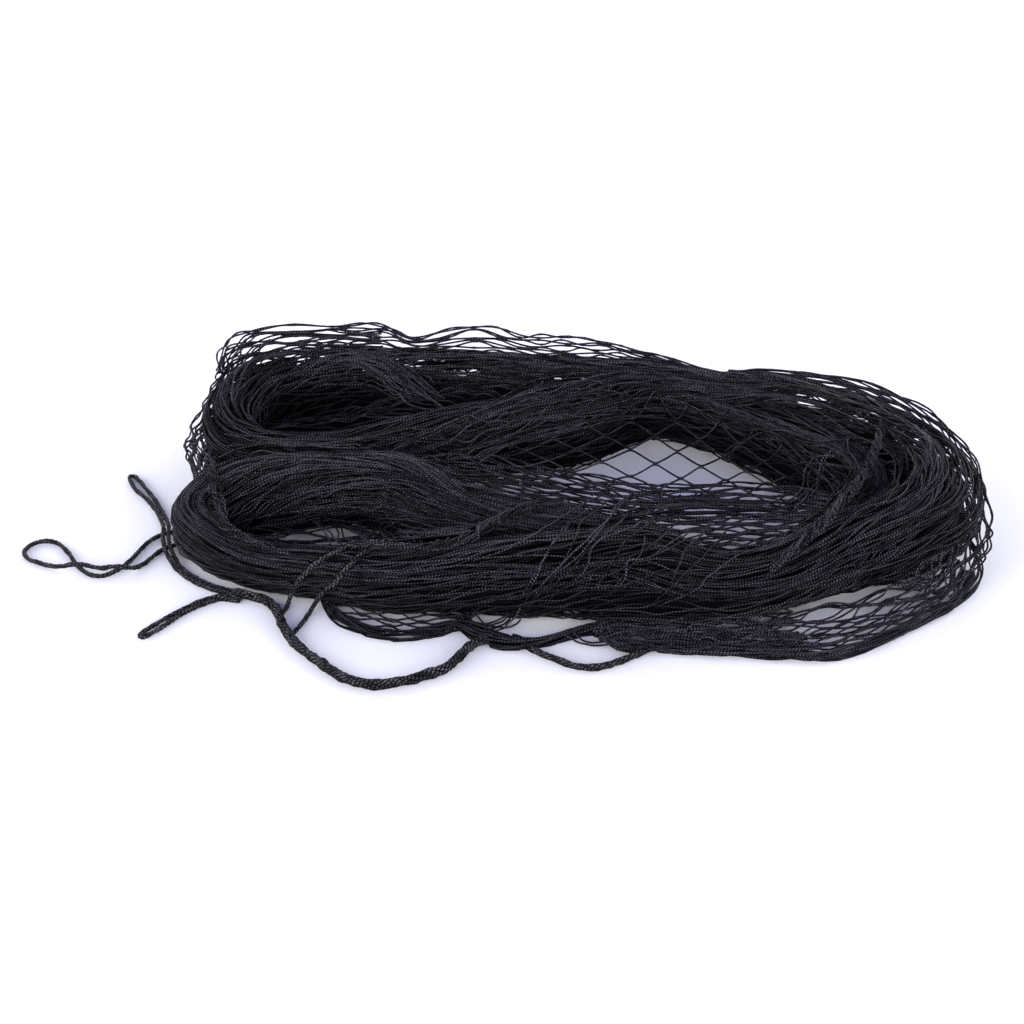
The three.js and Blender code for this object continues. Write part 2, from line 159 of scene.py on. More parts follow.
SECOND_RUN = [
    (278, 8, 62, 68, 0), (246, -32, 58, 46, 4), (190, -56, 46, 26, 0), (119, -64, 46, 26, 0),
    (57, -48, 60, 40, 2), (-26, -34, 68, 52, 0), (-108, -6, 74, 56, 0), (-190, 36, 94, 69, 4),
    (-263, 46, 94, 66, 5), (-335, 34, 94, 72, 0), (-376, 10, 72, 66, 0), (-391, -18, 48, 58, 0),
]
CIRCUIT = FRONT_RUN[:-1] + REAR_RUN[:-1] + THIRD_RUN[:-1] + SECOND_RUN[:-1]
RUN_STARTS = {
    "front": 0,
    "rear": len(FRONT_RUN) - 1,
    "third": len(FRONT_RUN) + len(REAR_RUN) - 2,
    "second": len(FRONT_RUN) + len(REAR_RUN) + len(THIRD_RUN) - 3,
}

# Folds and hems beside the circuit, with the runs' columns
SUNKEN_FOLD = [
    (-345, 160, 74, 44, 0), (-263, 166, 92, 50, 0), (-190, 174, 98, 70, 0), (-108, 190, 90, 76, 0),
    (-40, 208, 76, 70, 0),
]
HOLLOW_FOLD = [
    (-136, 122, 34, 16, 0), (-84, 152, 38, 22, 0), (-24, 162, 46, 28, 0), (16, 182, 36, 28, 0),
    (46, 206, 26, 26, 0), (80, 226, 10, 14, 0),
]
DRAWN_CORNER = [
    (-124, -160, 16, 12, 0), (-108, -177, 19, 14, 0), (-91, -190, 20, 14, 0), (-72, -197, 17, 13, 0),
    (-49, -193, 12, 11, 0), (-29, -184, 11, 11, 0), (-10, -174, 12, 11, 0), (16, -166, 15, 12, 0),
]
FRONT_HEM = [
    (-258, -112, 7, 10, 0), (-250, -134, 10, 12, 0), (-236, -157, 12, 12, 0), (-210, -174, 13, 12, 0),
    (-181, -182, 13, 12, 0), (-153, -176, 13, 12, 0), (-120, -163, 14, 13, 0),
]
SKIRT_HEM = [
    (4, -176, 6, 8, 0), (28, -189, 9, 10, 0), (57, -200, 12, 12, 0), (101, -204, 14, 12, 0),
    (140, -208, 14, 12, 0), (175, -211, 13, 11, 0), (222, -216, 11, 10, 0), (250, -206, 9, 9, 0),
    (272, -190, 8, 9, 0), (315, -157, 7, 8, 0), (355, -121, 7, 8, 0), (376, -95, 6, 8, 2),
    (387, -70, 5, 8, 8), (383, -48, 4, 7, 20), (368, -30, 3, 6, 30),
]

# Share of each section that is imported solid, by row of the circuit: the rear and the right rim are looser
CORE_FILL = [
    (0, 0.86), (10, 0.84), (12, 0.7), (15, 0.64), (18, 0.56), (20, 0.6), (22, 0.62), (24, 0.76), (26, 0.86),
    (34, 0.8), (36, 0.75), (39, 0.75), (40, 0.84), (47, 0.86),
]

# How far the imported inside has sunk, by row of the circuit
CORE_SINK = [
    (0, 1.0), (10, 1.0), (12, 0.85), (15, 0.8), (17, 0.66), (18, 0.76), (19, 0.78), (20, 0.88), (21, 0.86),
    (22, 0.9), (24, 0.94), (26, 1.0), (47, 1.0),
]

# How tightly the strands are drawn into clumps, by row of the circuit
CLUMPING = [
    (0, 0.25), (4, 0.3), (10, 0.25), (12, 0.5), (15, 0.55), (17, 0.75), (21, 0.8), (23, 0.5), (24, 0.3),
    (28, 0.3), (34, 0.3), (36, 0.4), (39, 0.4), (41, 0.3), (47, 0.25),
]

# Ridges of strands in the runs: how many round the section, turns along the circuit, depth and start
LOCK_WAVES = [(5, 7, 0.1, 0.3), (8, -5, 0.09, 1.7), (13, 9, 0.07, 0.9), (21, -14, 0.05, 2.2)]

# Spread netting: low edge x, y, z and high edge x, y, z at each station
REAR_VEIL = [
    (-366, 184, 76, -390, 204, 92), (-350, 212, 80, -385, 241, 105), (-322, 232, 84, -352, 261, 115),
    (-270, 240, 84, -270, 267, 116), (-215, 240, 84, -215, 268, 116), (-177, 240, 82, -177, 260, 104),
    (-116, 240, 80, -116, 269, 117), (-66, 240, 76, -66, 263, 106), (-20, 240, 72, -20, 262, 104),
    (25, 242, 70, 25, 260, 98), (60, 242, 68, 60, 256, 91), (105, 222, 66, 105, 237, 87),
    (152, 196, 66, 154, 210, 80),
]
RIGHT_RIM = [
    (150, 196, 70, 158, 212, 88), (215, 178, 78, 226, 200, 92), (270, 145, 82, 294, 180, 90),
    (312, 112, 82, 354, 131, 84), (335, 70, 80, 390, 84, 69), (352, 25, 72, 402, 27, 57),
    (356, -25, 60, 402, -37, 42), (346, -66, 44, 394, -66, 29), (324, -90, 28, 382, -91, 16),
    (296, -106, 12, 358, -120, 6),
]
FRONT_SKIRT = [
    (8, -188, 4, 2, -168, 8), (30, -208, 4, 24, -162, 10), (58, -208, 4, 54, -160, 10),
    (101, -212, 4, 104, -162, 8), (175, -219, 4, 166, -156, 8), (222, -222, 4, 216, -140, 9),
    (272, -196, 4, 262, -120, 10), (315, -162, 4, 302, -102, 12), (355, -126, 6, 336, -86, 16),
    (374, -88, 11, 358, -64, 26),
]
SKIRT_FILL = [
    (4, -184, 4, 2, -166, 9), (40, -204, 4, 36, -158, 14), (85, -209, 4, 85, -156, 16),
    (128, -212, 4, 124, -156, 14), (168, -214, 4, 158, -154, 10), (206, -212, 4, 190, -144, 9),
]
FRONT_EDGE = [
    (-254, -128, 5, -252, -122, 6), (-236, -157, 4, -230, -132, 6), (-210, -174, 4, -202, -140, 6),
    (-181, -182, 4, -172, -146, 6), (-153, -176, 4, -142, -150, 6), (-120, -163, 5, -110, -150, 6),
]
CENTRE_WEB = [
    (-250, 66, 60, -245, 100, 60), (-190, 56, 62, -180, 116, 62), (-140, 40, 60, -120, 130, 62),
    (-80, 24, 56, -60, 146, 60), (-20, 12, 50, 0, 176, 56), (50, 4, 44, 60, 196, 52),
    (110, 2, 42, 110, 190, 52), (160, 0, 44, 160, 164, 54), (205, -6, 46, 205, 132, 56),
]
SHELF_WEB = [
    (-172, 30, 62, -166, 64, 62), (-140, 16, 60, -136, 72, 60), (-104, 2, 56, -100, 78, 56),
    (-67, -8, 52, -67, 76, 50), (-26, -14, 48, -26, 68, 46), (15, -20, 44, 15, 56, 44),
    (55, -24, 42, 55, 46, 42), (96, -26, 40, 96, 44, 40), (158, -26, 40, 158, 46, 42),
    (206, -30, 44, 206, 32, 46), (250, -40, 54, 250, 0, 56),
]
LOOSE_WEB = [
    (20, -84, 54, 30, -30, 46), (70, -86, 46, 78, -22, 40), (120, -86, 40, 124, -16, 38),
    (165, -82, 38, 168, -14, 38), (205, -72, 44, 208, -22, 42), (240, -60, 56, 244, -36, 54),
]
VALLEY_WEB = [
    (-335, -48, 22, -345, -14, 24), (-275, -62, 24, -275, -8, 24), (-205, -70, 26, -205, -16, 24),
    (-140, -66, 28, -140, -34, 26), (-90, -62, 32, -90, -38, 30),
]
LEFT_FLANK = [
    (-380, 22, 56, -397, 36, 50), (-378, 56, 52, -411, 84, 50), (-376, 96, 56, -417, 128, 50),
    (-370, 132, 66, -408, 166, 58), (-362, 172, 84, -388, 196, 84),
]
REAR_CORNER = [
    (-372, 150, 70, -398, 176, 74), (-366, 184, 74, -390, 204, 88), (-352, 208, 80, -380, 238, 100),
    (-322, 230, 86, -346, 258, 108), (-270, 242, 92, -276, 264, 110), (-215, 246, 94, -218, 262, 106),
]

# Single strands that fan out over the runs: points x, y, z that each passes
FRONT_FAN = [
    [(45, 27, 44), (34, -11, 46), (20, -44, 48), (3, -110, 69), (-10, -128, 63), (-24, -149, 61),
     (-39, -157, 51), (-53, -165, 40)],
    [(40, 6, 48), (27, -20, 47), (11, -84, 67), (-3, -115, 69), (-17, -131, 62), (-30, -152, 59),
     (-44, -159, 48), (-57, -166, 36)],
    [(10, -4, 46), (-7, -32, 49), (-22, -55, 48), (-36, -115, 66), (-46, -136, 58), (-56, -157, 51),
     (-66, -164, 37)],
    [(20, 6, 46), (7, -24, 49), (-7, -74, 61), (-16, -116, 67), (-25, -132, 59), (-34, -154, 55),
     (-46, -164, 45), (-57, -166, 30)],
    [(95, 27, 41), (79, -5, 41), (61, -41, 47), (51, -115, 69), (43, -145, 66), (31, -163, 59),
     (19, -174, 49)],
    [(15, 17, 47), (1, -1, 47), (-17, -32, 51), (-34, -51, 50), (-49, -83, 59), (-66, -110, 66),
     (-82, -118, 61), (-100, -127, 58), (-115, -129, 55)],
    [(67, -28, 46), (50, -96, 69), (34, -121, 69), (21, -141, 63), (10, -161, 56), (-2, -172, 46)],
    [(101, -49, 41), (84, -102, 62), (66, -128, 64), (49, -145, 65), (34, -151, 66), (30, -168, 57),
     (17, -171, 45)],
    [(137, -43, 38), (122, -85, 44), (104, -128, 55), (89, -152, 54), (74, -173, 50), (60, -174, 38)],
    [(133, -15, 42), (120, -38, 42), (102, -93, 56), (89, -130, 59), (80, -156, 57), (72, -175, 50)],
    [(62, -30, 44), (44, -91, 70), (26, -105, 70), (7, -115, 68), (-3, -128, 63), (-5, -154, 59),
     (-16, -164, 50)],
    [(127, -42, 39), (111, -59, 42), (88, -106, 61), (70, -126, 64), (53, -141, 66), (35, -147, 66),
     (17, -151, 66), (-1, -150, 63), (-18, -153, 59), (-35, -156, 53), (-50, -162, 44), (-62, -167, 33)],
    [(166, -85, 45), (151, -98, 45), (130, -127, 49), (113, -146, 47), (98, -168, 47), (80, -172, 39),
     (65, -174, 33)],
    [(-10, -34, 50), (-21, -55, 48), (-34, -114, 66), (-43, -128, 58), (-50, -154, 56), (-59, -162, 42)],
    [(54, 7, 43), (41, -21, 45), (23, -94, 70), (8, -114, 68), (-5, -129, 62), (-17, -152, 59),
     (-31, -161, 51), (-45, -164, 38)],
    [(115, 24, 46), (103, 2, 42), (88, -34, 43), (71, -101, 66), (55, -128, 69), (38, -141, 66),
     (21, -149, 63), (4, -157, 60), (-13, -161, 53), (-31, -166, 43), (-44, -166, 33)],
]
RIGHT_FAN = [
    [(309, 67, 94), (317, 46, 89), (324, 14, 90), (324, -22, 91), (313, -38, 84)],
    [(304, 54, 82), (317, 35, 80), (312, -1, 78), (296, -50, 85), (279, -58, 80), (260, -67, 75),
     (243, -80, 71)],
    [(275, 83, 81), (266, 49, 78), (273, 20, 75), (263, -3, 67), (249, -18, 58)],
    [(217, 68, 52), (236, 52, 61), (255, 37, 65), (272, 16, 74)],
    [(260, 41, 76), (241, 55, 66), (230, 52, 49), (219, 9, 49), (199, -7, 46)],
    [(154, 138, 62), (170, 127, 59), (187, 113, 67), (201, 97, 67), (214, 79, 63), (226, 62, 59)],
    [(152, 105, 49), (167, 115, 53), (185, 113, 63), (202, 105, 70), (218, 94, 72), (233, 76, 74),
     (252, 68, 79), (270, 82, 74)],
    [(272, 16, 74), (262, -4, 66), (247, -12, 57), (230, -31, 54), (212, -65, 60), (196, -74, 54)],
    [(330, -7, 93), (318, -31, 87), (305, -54, 84), (289, -60, 78), (269, -67, 76), (254, -79, 70),
     (238, -103, 69), (222, -111, 61), (208, -113, 54)],
    [(214, -43, 48), (231, -36, 53), (245, -56, 70), (264, -37, 68), (285, -8, 63), (299, 14, 67)],
    [(206, -19, 47), (222, 2, 51), (235, 42, 48), (241, 50, 65), (255, 58, 77)],
    [(345, -36, 88), (338, -59, 81), (320, -77, 78), (301, -88, 75), (282, -98, 72), (264, -106, 67),
     (245, -113, 60), (230, -120, 54)],
    [(338, -18, 92), (330, -50, 88), (316, -67, 83), (298, -79, 80), (280, -89, 77), (264, -99, 70),
     (248, -111, 64), (230, -119, 56), (216, -124, 50)],
]
VALLEY_FAN = [
    [(-292, 40, 12), (-278, 8, 22), (-264, -40, 36), (-252, -76, 44)],
    [(-270, 30, 10), (-255, 2, 20), (-243, -46, 38), (-230, -84, 46)],
    [(-255, 34, 12), (-246, 0, 18), (-228, -52, 40), (-214, -88, 47)],
    [(-226, 20, 20), (-228, -14, 24), (-222, -50, 36), (-206, -84, 46)],
    [(-236, 26, 10), (-214, -6, 20), (-196, -56, 42), (-184, -90, 48)],
    [(-205, 30, 16), (-198, -2, 20), (-176, -54, 40), (-162, -86, 48)],
    [(-190, 12, 24), (-206, -24, 26), (-222, -62, 38), (-240, -86, 46)],
]
CORNER_LOOPS = [
    [(-92, -186, 12), (-80, -170, 6), (-64, -156, 24), (-50, -146, 50)],
    [(-128, -156, 4), (-120, -166, 3), (-104, -168, 3), (-86, -158, 4), (-74, -146, 10)],
    [(-126, -158, 3), (-114, -171, 3), (-96, -171, 3), (-80, -160, 5), (-70, -148, 10)],
    [(-122, -150, 6), (-112, -158, 3), (-98, -160, 3), (-84, -152, 5), (-76, -142, 12)],
    [(-112, -146, 8), (-104, -158, 3), (-90, -166, 3), (-74, -164, 4), (-62, -148, 10)],
    [(-20, -178, 8), (-8, -190, 3), (8, -192, 3), (22, -186, 3), (34, -190, 4)],
    [(-30, -182, 8), (-16, -192, 3), (2, -198, 3), (24, -196, 3), (40, -200, 5)],
]

# Loose sheets of strands: rows of points x, y, z that they lie between
LEFT_SHEET = [
    [(-372, 14, 68), (-354, 36, 74), (-331, 51, 76), (-305, 40, 78), (-281, 38, 76), (-253, 40, 76),
     (-229, 40, 77)],
    [(-367, -6, 62), (-348, 11, 71), (-327, 27, 73), (-303, 34, 76), (-278, 38, 77), (-253, 40, 74),
     (-225, 34, 74), (-202, 29, 74)],
    [(-360, -11, 56), (-338, 2, 65), (-314, 17, 70), (-287, 22, 73), (-259, 26, 72), (-231, 27, 72),
     (-202, 24, 72), (-176, 17, 69)],
    [(-362, -15, 47), (-341, -1, 54), (-319, 5, 66), (-296, 18, 71), (-271, 29, 72), (-244, 32, 72),
     (-216, 25, 73), (-192, 21, 70)],
    [(-354, -20, 38), (-335, -12, 47), (-311, -3, 56), (-288, 10, 61), (-264, 16, 67), (-239, 18, 70),
     (-214, 17, 71), (-187, 15, 68), (-163, 12, 64)],
    [(-332, -15, 35), (-311, -10, 44), (-286, -3, 53), (-262, 4, 58), (-238, 6, 64), (-213, 8, 66),
     (-187, 6, 66), (-160, 2, 63), (-137, -1, 60)],
    [(-311, -14, 37), (-287, -9, 44), (-260, -4, 50), (-233, -3, 56), (-207, -5, 62), (-178, -5, 62),
     (-153, -6, 60)],
]
LOBE_SHEET = [
    [(-376, 114, 78), (-354, 90, 71), (-327, 81, 67), (-299, 62, 75), (-274, 82, 66), (-248, 90, 67),
     (-222, 101, 69), (-195, 114, 70), (-171, 129, 70)],
    [(-377, 22, 70), (-366, 74, 63), (-343, 85, 69), (-317, 83, 70), (-291, 82, 66), (-263, 61, 74),
     (-236, 62, 73), (-213, 83, 64)],
]
REAR_SHEET = [
    [(-209, 42, 79), (-186, 90, 61), (-158, 103, 66), (-132, 117, 73), (-108, 139, 77), (-83, 172, 76),
     (-57, 208, 73), (-28, 223, 79), (-2, 229, 85)],
    [(-170, 103, 70), (-147, 114, 72), (-122, 127, 77), (-97, 147, 78), (-72, 163, 79), (-45, 179, 80),
     (-19, 189, 81), (8, 202, 80), (39, 213, 80), (63, 220, 80)],
    [(-148, 24, 69), (-126, 61, 64), (-101, 97, 58), (-75, 114, 60), (-49, 131, 61), (-22, 144, 64),
     (6, 157, 67), (37, 181, 64), (62, 194, 65)],
    [(-118, 40, 60), (-96, 74, 59), (-70, 99, 58), (-41, 122, 54), (-13, 136, 53), (16, 152, 52),
     (45, 167, 51), (78, 180, 49), (103, 171, 58)],
]
SHELF_SHEET = [
    [(-21, -31, 51), (1, -18, 48), (30, -7, 46), (56, 7, 42), (82, 13, 41), (107, 7, 45), (133, 8, 43),
     (158, 7, 42), (183, -3, 47), (212, 0, 46), (233, -9, 53)],
    [(12, -49, 49), (34, -42, 50), (63, -25, 46), (90, -11, 42), (115, -7, 42), (141, -5, 42),
     (167, -6, 41), (192, -14, 44), (218, -23, 49), (239, -34, 58)],
]
SHELF_END_SHEET = [
    [(-138, 46, 66), (-112, 40, 63), (-83, 34, 60), (-56, 30, 57), (-29, 24, 55), (0, 22, 51),
     (26, 19, 49)],
    [(-141, 18, 67), (-119, 22, 60), (-93, 19, 57), (-68, 18, 53), (-44, 14, 51), (-20, 11, 49),
     (7, 10, 46), (30, 9, 46)],
    [(-143, 1, 61), (-120, -3, 59), (-93, -5, 56), (-68, -7, 54), (-43, -7, 51), (-18, -10, 50),
     (10, -9, 47), (33, -7, 45)],
]
ARCH_SHEET = [
    [(-340, 183, 86), (-321, 210, 92), (-297, 231, 95), (-270, 239, 98), (-242, 243, 98), (-213, 235, 97),
     (-187, 230, 87), (-163, 218, 75), (-141, 181, 75)],
    [(-317, 198, 72), (-292, 209, 79), (-267, 219, 87), (-241, 227, 88), (-214, 221, 84), (-189, 218, 71),
     (-165, 186, 71), (-138, 158, 76)],
    [(-284, 211, 56), (-256, 217, 62), (-227, 217, 63), (-199, 178, 70), (-171, 161, 67),
     (-142, 146, 73)],
]
VALLEY_SHEET = [
    [(-228, -14, 30), (-208, -17, 36), (-185, -22, 42), (-155, -32, 44), (-120, -40, 46), (-85, -46, 48)],
    [(-224, -44, 26), (-205, -46, 32), (-185, -48, 38), (-155, -50, 42), (-120, -52, 46), (-85, -54, 50)],
    [(-220, -72, 38), (-200, -74, 42), (-180, -76, 46), (-150, -74, 48), (-115, -70, 50), (-80, -66, 54)],
]

# Bundles along the border of the netting: points x, y, z on the runs
LEFT_BORDER = [
    (-392, 84, 60), (-384, 48, 63), (-376, 14, 66), (-369, -15, 58), (-361, -47, 51), (-347, -67, 46),
    (-329, -78, 43), (-310, -87, 42), (-291, -89, 42),
]
VALLEY_BORDER = [
    (-248, -72, 40), (-230, -87, 47), (-208, -99, 51), (-189, -110, 55), (-170, -116, 57), (-151, -115, 58),
    (-133, -109, 58), (-116, -86, 54), (-99, -64, 52), (-82, -46, 52), (-65, -33, 55), (-46, -20, 54),
    (-25, -9, 51), (-7, 1, 47),
]
RIGHT_BORDER = [
    (306, 86, 98), (300, 63, 90), (291, 36, 82), (282, 8, 76), (268, -16, 72), (250, -51, 74), (234, -78, 73),
    (219, -96, 67), (203, -113, 63), (186, -126, 58), (170, -132, 52),
]

# Free cords, each along points on its centre line. The tails are doubled: half the width comes last
LOOP_ROUTE = [
    (-398, 8, 8), (-412, 14, 3.5), (-427, 10, 2.7), (-441, -6, 2.7), (-450, -28, 2.7), (-457, -47, 2.7),
    (-466, -62, 2.7), (-478, -72, 2.7), (-490, -71, 2.7), (-501, -61, 2.7), (-511, -46, 2.7),
    (-520, -28, 2.7), (-533, -10, 2.7), (-547, -5, 2.7), (-559, -12, 2.7), (-564, -26, 2.7),
    (-558, -40, 2.7), (-547, -47, 2.7), (-535, -53, 2.7), (-523, -58, 5), (-512, -60, 8),
    (-501, -61, 8.7), (-491, -61, 6), (-481, -62, 5), (-471, -64, 8.2), (-461, -65, 8.7), (-450, -61, 5),
    (-442, -51, 2.7), (-435, -38, 2.7), (-427, -24, 2.7), (-418, -15, 2.7), (-410, -12, 3.5),
    (-398, -10, 8),
]
UPPER_TAIL = [
    (-477, 127, 2.7, 2.9), (-471, 115, 2.7, 4.6), (-464, 101, 2.7, 4.9), (-450, 78, 2.7, 3.4),
    (-439, 55, 2.7, 2.7), (-431, 31, 5.5, 2.7), (-426, 11, 8.6, 2.7), (-424, -8, 8.6, 2.7),
    (-421, -24, 8.6, 2.7), (-415, -40, 5.5, 2.7), (-406, -57, 2.7, 2.7), (-391, -76, 2.7, 2.7),
    (-372, -92, 2.7, 2.7), (-352, -102, 2.7, 2.7), (-331, -111.5, 2.7, 2.7),
]
LOWER_TAIL = [
    (-425, -180, 2.7, 2.9), (-416, -169, 2.7, 4.2), (-404, -153, 2.7, 3.8), (-392, -138, 2.7, 2.9),
    (-380, -126, 2.7, 2.7), (-368, -117.5, 2.7, 2.7), (-355.5, -112.4, 2.7, 2.7), (-338, -118.6, 2.7, 2.7),
]
FRONT_ROUTE = [
    (-345, -108.5, 7.6), (-335, -112, 6.4), (-325, -115.5, 5.4), (-315, -121, 5.2), (-305, -132, 5.2),
    (-298, -150, 5.2), (-291, -172, 5.2), (-280, -196, 5.2), (-265, -217, 5.2), (-250, -234, 5.2),
    (-234, -252, 5.2), (-216, -263, 5.2), (-198, -267, 5.2), (-174, -261, 5.2), (-152, -250, 5.2),
    (-134, -237, 5.2), (-121, -214, 5.2), (-109, -197, 5.2), (-96, -188, 5.4),
]
SKIRT_ROUTE = [
    (-72, -190, 5), (-64, -198, 3.7), (-55, -207, 3.7), (-44, -216, 3.7), (-30, -226, 3.7), (-17, -234, 3.7),
    (-3, -237, 3.7), (11, -234, 3.7), (26, -226, 3.7), (41, -215, 3.7), (55, -206, 3.7),
]
LEFT_CROSS_ROUTE = [
    (-298, -147, 6.5), (-295, -140, 4), (-292.5, -131, 2.8), (-290, -119, 7), (-286, -119, 16),
    (-283, -119.5, 23), (-276, -119.5, 31.5), (-263, -112.5, 41.5), (-250, -103.5, 45.5), (-239, -92, 45),
    (-230, -80, 41),
]
RIGHT_CROSS_ROUTE = [
    (-286, -184, 6.5), (-281.5, -177, 4), (-275, -157, 2.7), (-269, -138, 3), (-264, -131, 9),
    (-257, -132, 20), (-245, -133, 31.5), (-234.5, -125, 42), (-223.5, -112.5, 47.4), (-212.5, -98, 47.6),
    (-201, -84, 44),
]


class HankSizes(bpy.types.PropertyGroup):
    """Real sizes of the twine, the meshes and the cords, and how many strands are laid."""

    twine: bpy.props.FloatProperty(
        name="Twine", description="Diameter of the net's twine", default=0.002, min=0.0005, unit="LENGTH")
    slack_twine: bpy.props.FloatProperty(
        name="Slack twine", description="Width of the twine where it lies bundled and slack", default=0.0018,
        min=0.0005, unit="LENGTH")
    bar: bpy.props.FloatProperty(
        name="Mesh bar", description="Twine between two joints of the net", default=0.044, min=0.01,
        unit="LENGTH")
    lacing: bpy.props.FloatProperty(
        name="Lacing cord", description="Diameter of the lacing cords", default=0.005, min=0.001,
        unit="LENGTH")
    front_cord: bpy.props.FloatProperty(
        name="Front cord", description="Diameter of the cord in front", default=0.01, min=0.001,
        unit="LENGTH")
    skirt_cord: bpy.props.FloatProperty(
        name="Skirt cord", description="Diameter of the cord before the skirt", default=0.007, min=0.001,
        unit="LENGTH")
    bundle: bpy.props.FloatProperty(
        name="Border bundle", description="Width of the bundles at the net's border", default=0.013,
        min=0.001, unit="LENGTH")
    surface_strands: bpy.props.IntProperty(
        name="Surface strands", description="Strands round the outside of a run", default=75, min=12)
    buried_strands: bpy.props.IntProperty(
        name="Buried strands", description="Strands of the layer below", default=42, min=12)
    twist: bpy.props.IntProperty(
        name="Twist", description="Turns of the strands along the whole circuit", default=-3)
    sheaves: bpy.props.IntProperty(
        name="Sheaves", description="Sheets of strands that lie askew over the runs", default=80, min=0)
    strays: bpy.props.IntProperty(
        name="Strays", description="Single strands that wander over the runs", default=90, min=0)


class HankColours(bpy.types.PropertyGroup):
    """Colours of the twine, the cords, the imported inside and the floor."""

    # Groove colours are painted shade between the plies, ply colours painted highlights on their tops; the
    # shaded ply is the twine's ply darkened as painted shade below the surface
    twine_groove: bpy.props.FloatVectorProperty(
        name="Twine groove", description="Between the plies of the twine", default=(0.0011, 0.0011, 0.0016),
        subtype="COLOR", size=3, min=0, max=1)
    twine_ply: bpy.props.FloatVectorProperty(
        name="Twine ply", description="Top of the plies of the twine", default=(0.081, 0.075, 0.0955),
        subtype="COLOR", size=3, min=0, max=1)
    shaded_ply: bpy.props.FloatVectorProperty(
        name="Shaded ply", description="Top of the plies of the twine below the surface",
        default=(0.018, 0.0165, 0.021), subtype="COLOR", size=3, min=0, max=1)
    cord_groove: bpy.props.FloatVectorProperty(
        name="Cord groove", description="Between the plies of the cords", default=(0.0014, 0.0014, 0.0018),
        subtype="COLOR", size=3, min=0, max=1)
    cord_ply: bpy.props.FloatVectorProperty(
        name="Cord ply", description="Top of the plies of the cords", default=(0.085, 0.082, 0.094),
        subtype="COLOR", size=3, min=0, max=1)
    # Painted shade: the packed inside is coloured darker than the twine
    packed: bpy.props.FloatVectorProperty(
        name="Packed inside", description="Twine deep in the runs", default=(0.0026, 0.0026, 0.0034),
        subtype="COLOR", size=3, min=0, max=1)
    floor: bpy.props.FloatVectorProperty(
        name="Floor", description="Plain pale floor", default=(0.93, 0.93, 0.94),
        subtype="COLOR", size=3, min=0, max=1)


def curve(points, places, closed=False):
    """Catmull-Rom points at the places, which count rows, as the part's source draws its curves."""
    points = np.asarray(points, float)
    places = np.asarray(places, float)
    count = len(points)
    if closed:
        places = np.mod(places, count)
        first = np.minimum(np.floor(places).astype(int), count - 1)
        before, start, end, after = (points[(first + k) % count] for k in (-1, 0, 1, 2))
    else:
        padded = np.vstack([2 * points[0] - points[1], points, 2 * points[-1] - points[-2]])
        first = np.clip(np.floor(places).astype(int), 0, count - 2)
        before, start, end, after = (padded[first + k] for k in range(4))
    t = (places - first)[:, None]
    bend = 2 * before - 5 * start + 4 * end - after
    twist = 3 * (start - end) + after - before
    return start + 0.5 * t * (end - before + t * (bend + t * twist))


def even_places(points, count, closed=False):
    """Places of count + 1 stations an equal way apart on the curve through the points, and its length."""
    points = np.asarray(points, float)
    rows = len(points) if closed else len(points) - 1
    fine = np.linspace(0, rows, rows * 50 + 1)
    steps = np.linalg.norm(np.diff(curve(points, fine, closed), axis=0), axis=1)
    reach = np.concatenate([[0], np.cumsum(steps)])
    return np.interp(np.linspace(0, reach[-1], count + 1), reach, fine), reach[-1]


def path_length(points, closed=False):
    """Length of the curve through the points."""
    return even_places(points, 1, closed)[1]


def even_curve(points, count):
    """count points an equal way apart on the curve through the points."""
    points = np.array(points, float)
    places, _ = even_places(points, count - 1)
    return curve(points, places)


def sweep(rows, places, closed=False):
    """Middle, sideways direction and half sizes of a run's section at each place."""
    rows = np.asarray(rows, float)
    last = len(rows) if closed else len(rows) - 1
    ahead, behind = places + 0.02, places - 0.02
    if not closed:
        ahead, behind = np.minimum(ahead, last), np.maximum(behind, 0)
    along = curve(rows[:, :2], ahead, closed) - curve(rows[:, :2], behind, closed)
    along /= np.linalg.norm(along, axis=1)[:, None]
    section = curve(rows, places, closed)
    middle = np.column_stack([section[:, :2], section[:, 3] / 2 - SETTLE + section[:, 4]])
    return {
        "middle": middle,
        "side": np.column_stack([-along[:, 1], along[:, 0]]),
        "half": section[:, 2:4] / 2,
        "places": places,
    }


def locks(theta, share):
    """How far the ridges of strands stand out, as a share of the section."""
    total = np.zeros(np.broadcast(theta, share).shape)
    for lobes, turns, depth, start in LOCK_WAVES:
        total += depth * (np.abs(np.cos(lobes * theta / 2 + math.pi * turns * share + start)) - 0.64)
    return total


def around(run, theta, rho, floor):
    """Points of a run at the angles theta, rho times as far out as its plain section."""
    across = np.cos(theta) * run["half"][:, 0] * rho
    rise = np.sin(theta) * run["half"][:, 1] * rho
    points = np.empty(across.shape + (3,))
    points[..., 0] = run["middle"][:, 0] + run["side"][:, 0] * across
    points[..., 1] = run["middle"][:, 1] + run["side"][:, 1] * across
    points[..., 2] = np.maximum(run["middle"][:, 2] + rise, floor)
    return points


def zigzag(bars):
    """Rises from 0 to 1 over one bar of mesh and falls over the next."""
    return np.abs(np.mod(bars, 2) - 1)


@lru_cache(maxsize=None)
def circuit(bar):
    """The closed circuit of the four runs, and its bars of mesh."""
    rows = np.array(CIRCUIT, float)
    bars = 2 * round(path_length(rows[:, :2], closed=True) / (2 * bar))
    places, _ = even_places(rows[:, :2], bars * SAMPLES_PER_BAR, closed=True)
    return sweep(rows, places, closed=True), bars


